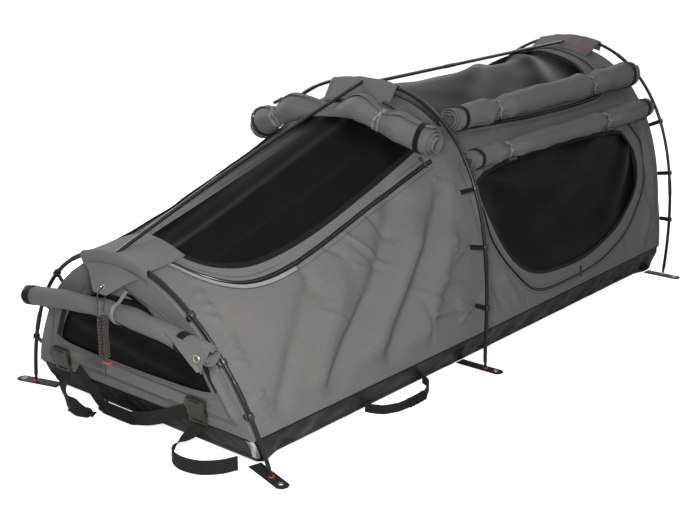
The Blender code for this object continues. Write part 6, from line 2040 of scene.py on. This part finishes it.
def strap(side_name, across, route):
    standoff = CANVAS + 0.0012 + BUCKLE_DEPTH / 2
    top = foot.place(across, BUCKLE_TOP, -standoff)
    down = unit(np.array([0, -foot.lean, -1.0]))
    exit_point = top + down * BUCKLE_LENGTH
    points = [exit_point, exit_point + down * STRAP_WIDTH / 3]
    points += [np.array((x, FOOT_STATION + y, z)) for x, y, z, *_ in route]
    path = smooth_path(points, STRAP_STEPS)
    knots = np.linspace(0, 1, len(points))
    shares = np.linspace(0, 1, STRAP_STEPS)
    twist = smooth_path([(knots[i], 0, 0) for i in (0, 1)]
                        + [(knots[i + 2], *row[3:]) for i, row in enumerate(route)], STRAP_STEPS)
    turned, laid = (np.interp(shares, twist[:, 0], column) for column in twist.T[1:])
    wide = (np.outer(1 - turned, ACROSS) + np.outer(turned * (1 - laid), UP)
            + np.outer(laid, ALONG))
    wide = square_to(unit(np.gradient(path, axis=0)), wide) * STRAP_WIDTH / 2
    low = path[:, 2] - np.abs(wide[:, 2]) - WEBBING
    path[:, 2] += np.maximum(0.0006 - low, 0)
    piece = ribbon(side_name + "_strap_webbing", path, wide, WEBBING, 6)
    dress(piece, webbing_black)
    unparent(piece)
    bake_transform(piece)
    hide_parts(side_name + "_strap")
    return path, wide


for side_name, route in STRAP_ROUTES.items():
    path, wide = strap(side_name, BUCKLE_ACROSS[side_name], route)
    print(side_name, "strap", round(path_length(path), 2), "m")
grommet_way = np.cross(path[GROMMET_STEP + 1] - path[GROMMET_STEP - 1], wide[GROMMET_STEP])
ring("right_strap_grommet", path[GROMMET_STEP], grommet_way, GROMMET, eyelet_metal)

# %% [markdown]
# The two carry handles are webbing with a padded grip sewn round the middle. The grip
# is a flattened tube, swollen between rows of cross stitching, so its radius follows
# the stitches; a plain cylinder would look like pipe foam.

# %% Carry handles
FOOT_HANDLE_ROUTE = in_metres(
    (-243, 0, 103), (-205, -3, 70), (-168, -8, 38), (-138, -12, 21.4), (-130, -14, 19.6),
    (-98, -14, 19.3), (-60, -14, 19.3), (-22, -14, 19.6), (-14, -13, 21.8), (40, -9, 36),
    (95, -5, 58), (150, -2, 83), (192, 0, 103))
SIDE_HANDLE_SHARES = (
    (-1.0, 0.0), (-0.96, 0.30), (-0.84, 0.66), (-0.58, 0.90), (-0.54, 0.93), (-0.1, 1.0),
    (0.34, 0.96), (0.38, 0.92), (0.70, 0.66), (0.90, 0.34), (1.0, 0.0))
GRIP_SWELL = 0.10
GRIP_SQUARE = 0.75
GRIP_KNIT = 0.03
CUFF_REACH = 3


def grip(name, path, side, wide, thick, body, stitches):
    """A padded grip round webbing, drawn in at each row of stitches."""
    count = len(path)
    along = np.linspace(0, 1, count)
    swell = 1 - GRIP_SWELL + GRIP_SWELL * np.abs(np.sin(math.pi * stitches * along))
    swell = swell * (1 - 0.35 * np.abs(2 * along - 1) ** 14)
    ways = unit(np.gradient(path, axis=0))
    side = square_to(ways, side)
    up = np.cross(side, ways)

    def place(u, v):
        i = at_index(u, count)
        turn = 2 * math.pi * v
        size = swell[i] * (1 + GRIP_KNIT * np.cos(2 * math.pi * (stitches * along[i] + 4 * v)))
        x = wide * size * squared(np.cos(turn), GRIP_SQUARE)
        y = thick * size * squared(np.sin(turn), GRIP_SQUARE)
        return path[i] + side[i] * x[:, None] + up[i] * y[:, None]

    piece = laid_grid(name, count - 1, 40, place, (path_length(path), 0.09))
    weld(piece, CAP_ENDS)
    dress(piece, binding_black, body, (), 50)


def handle(side_name, path, wide, half_width, grip_span, grip_sizes, stitches):
    """Webbing, a grip round its middle, and a cuff at each end of the grip."""
    name = body = side_name + "_handle"
    wide = square_to(unit(np.gradient(path, axis=0)), wide)
    dress(ribbon(name + "_webbing", path, wide * half_width, 2 * WEBBING, 6), webbing_black,
          body, [side_name + "_carry_handle"])
    low, high = (int(share * len(path)) for share in grip_span)
    grip(name + "_grip", path[low:high], wide[low:high], *grip_sizes, body, stitches)
    for end, i in (("first", low), ("last", high - 1)):
        cuff = slice(i - CUFF_REACH, i + CUFF_REACH + 1)
        grip(f"{name}_{end}_cuff", path[cuff], wide[cuff], grip_sizes[0] * 1.03,
             grip_sizes[1] * 1.05, body, 1)
    print(name, round(path_length(path), 2), "m")


foot_route = [foot.place(x, z, -(CANVAS + 0.0014)) + ALONG * y for x, y, z in FOOT_HANDLE_ROUTE]
foot_handle_path = smooth_path(foot_route, 240)
panel_normal = ALONG - UP * foot.lean
foot_wide = np.cross(np.gradient(foot_handle_path, axis=0), panel_normal)
handle("foot", foot_handle_path, foot_wide, STRAP_WIDTH / 2, (0.275, 0.530),
       (0.0157, 0.0135), 18)
SIDE_ROOT = half_base - BASE_WAIST + 0.0022
SIDE_HANDLE_OUT, SIDE_HANDLE_HALF, SIDE_HANDLE_HEIGHT = 0.075, 0.130, 0.0134
side_route = [(SIDE_ROOT + out * SIDE_HANDLE_OUT, HANDLE_STATION + along * SIDE_HANDLE_HALF,
               SIDE_HANDLE_HEIGHT) for along, out in SIDE_HANDLE_SHARES]
side_handle_path = smooth_path(side_route, 200)
handle("side", side_handle_path, np.tile(UP, (200, 1)), 0.013, (0.42, 0.62),
       (0.0126, 0.0105), 12)
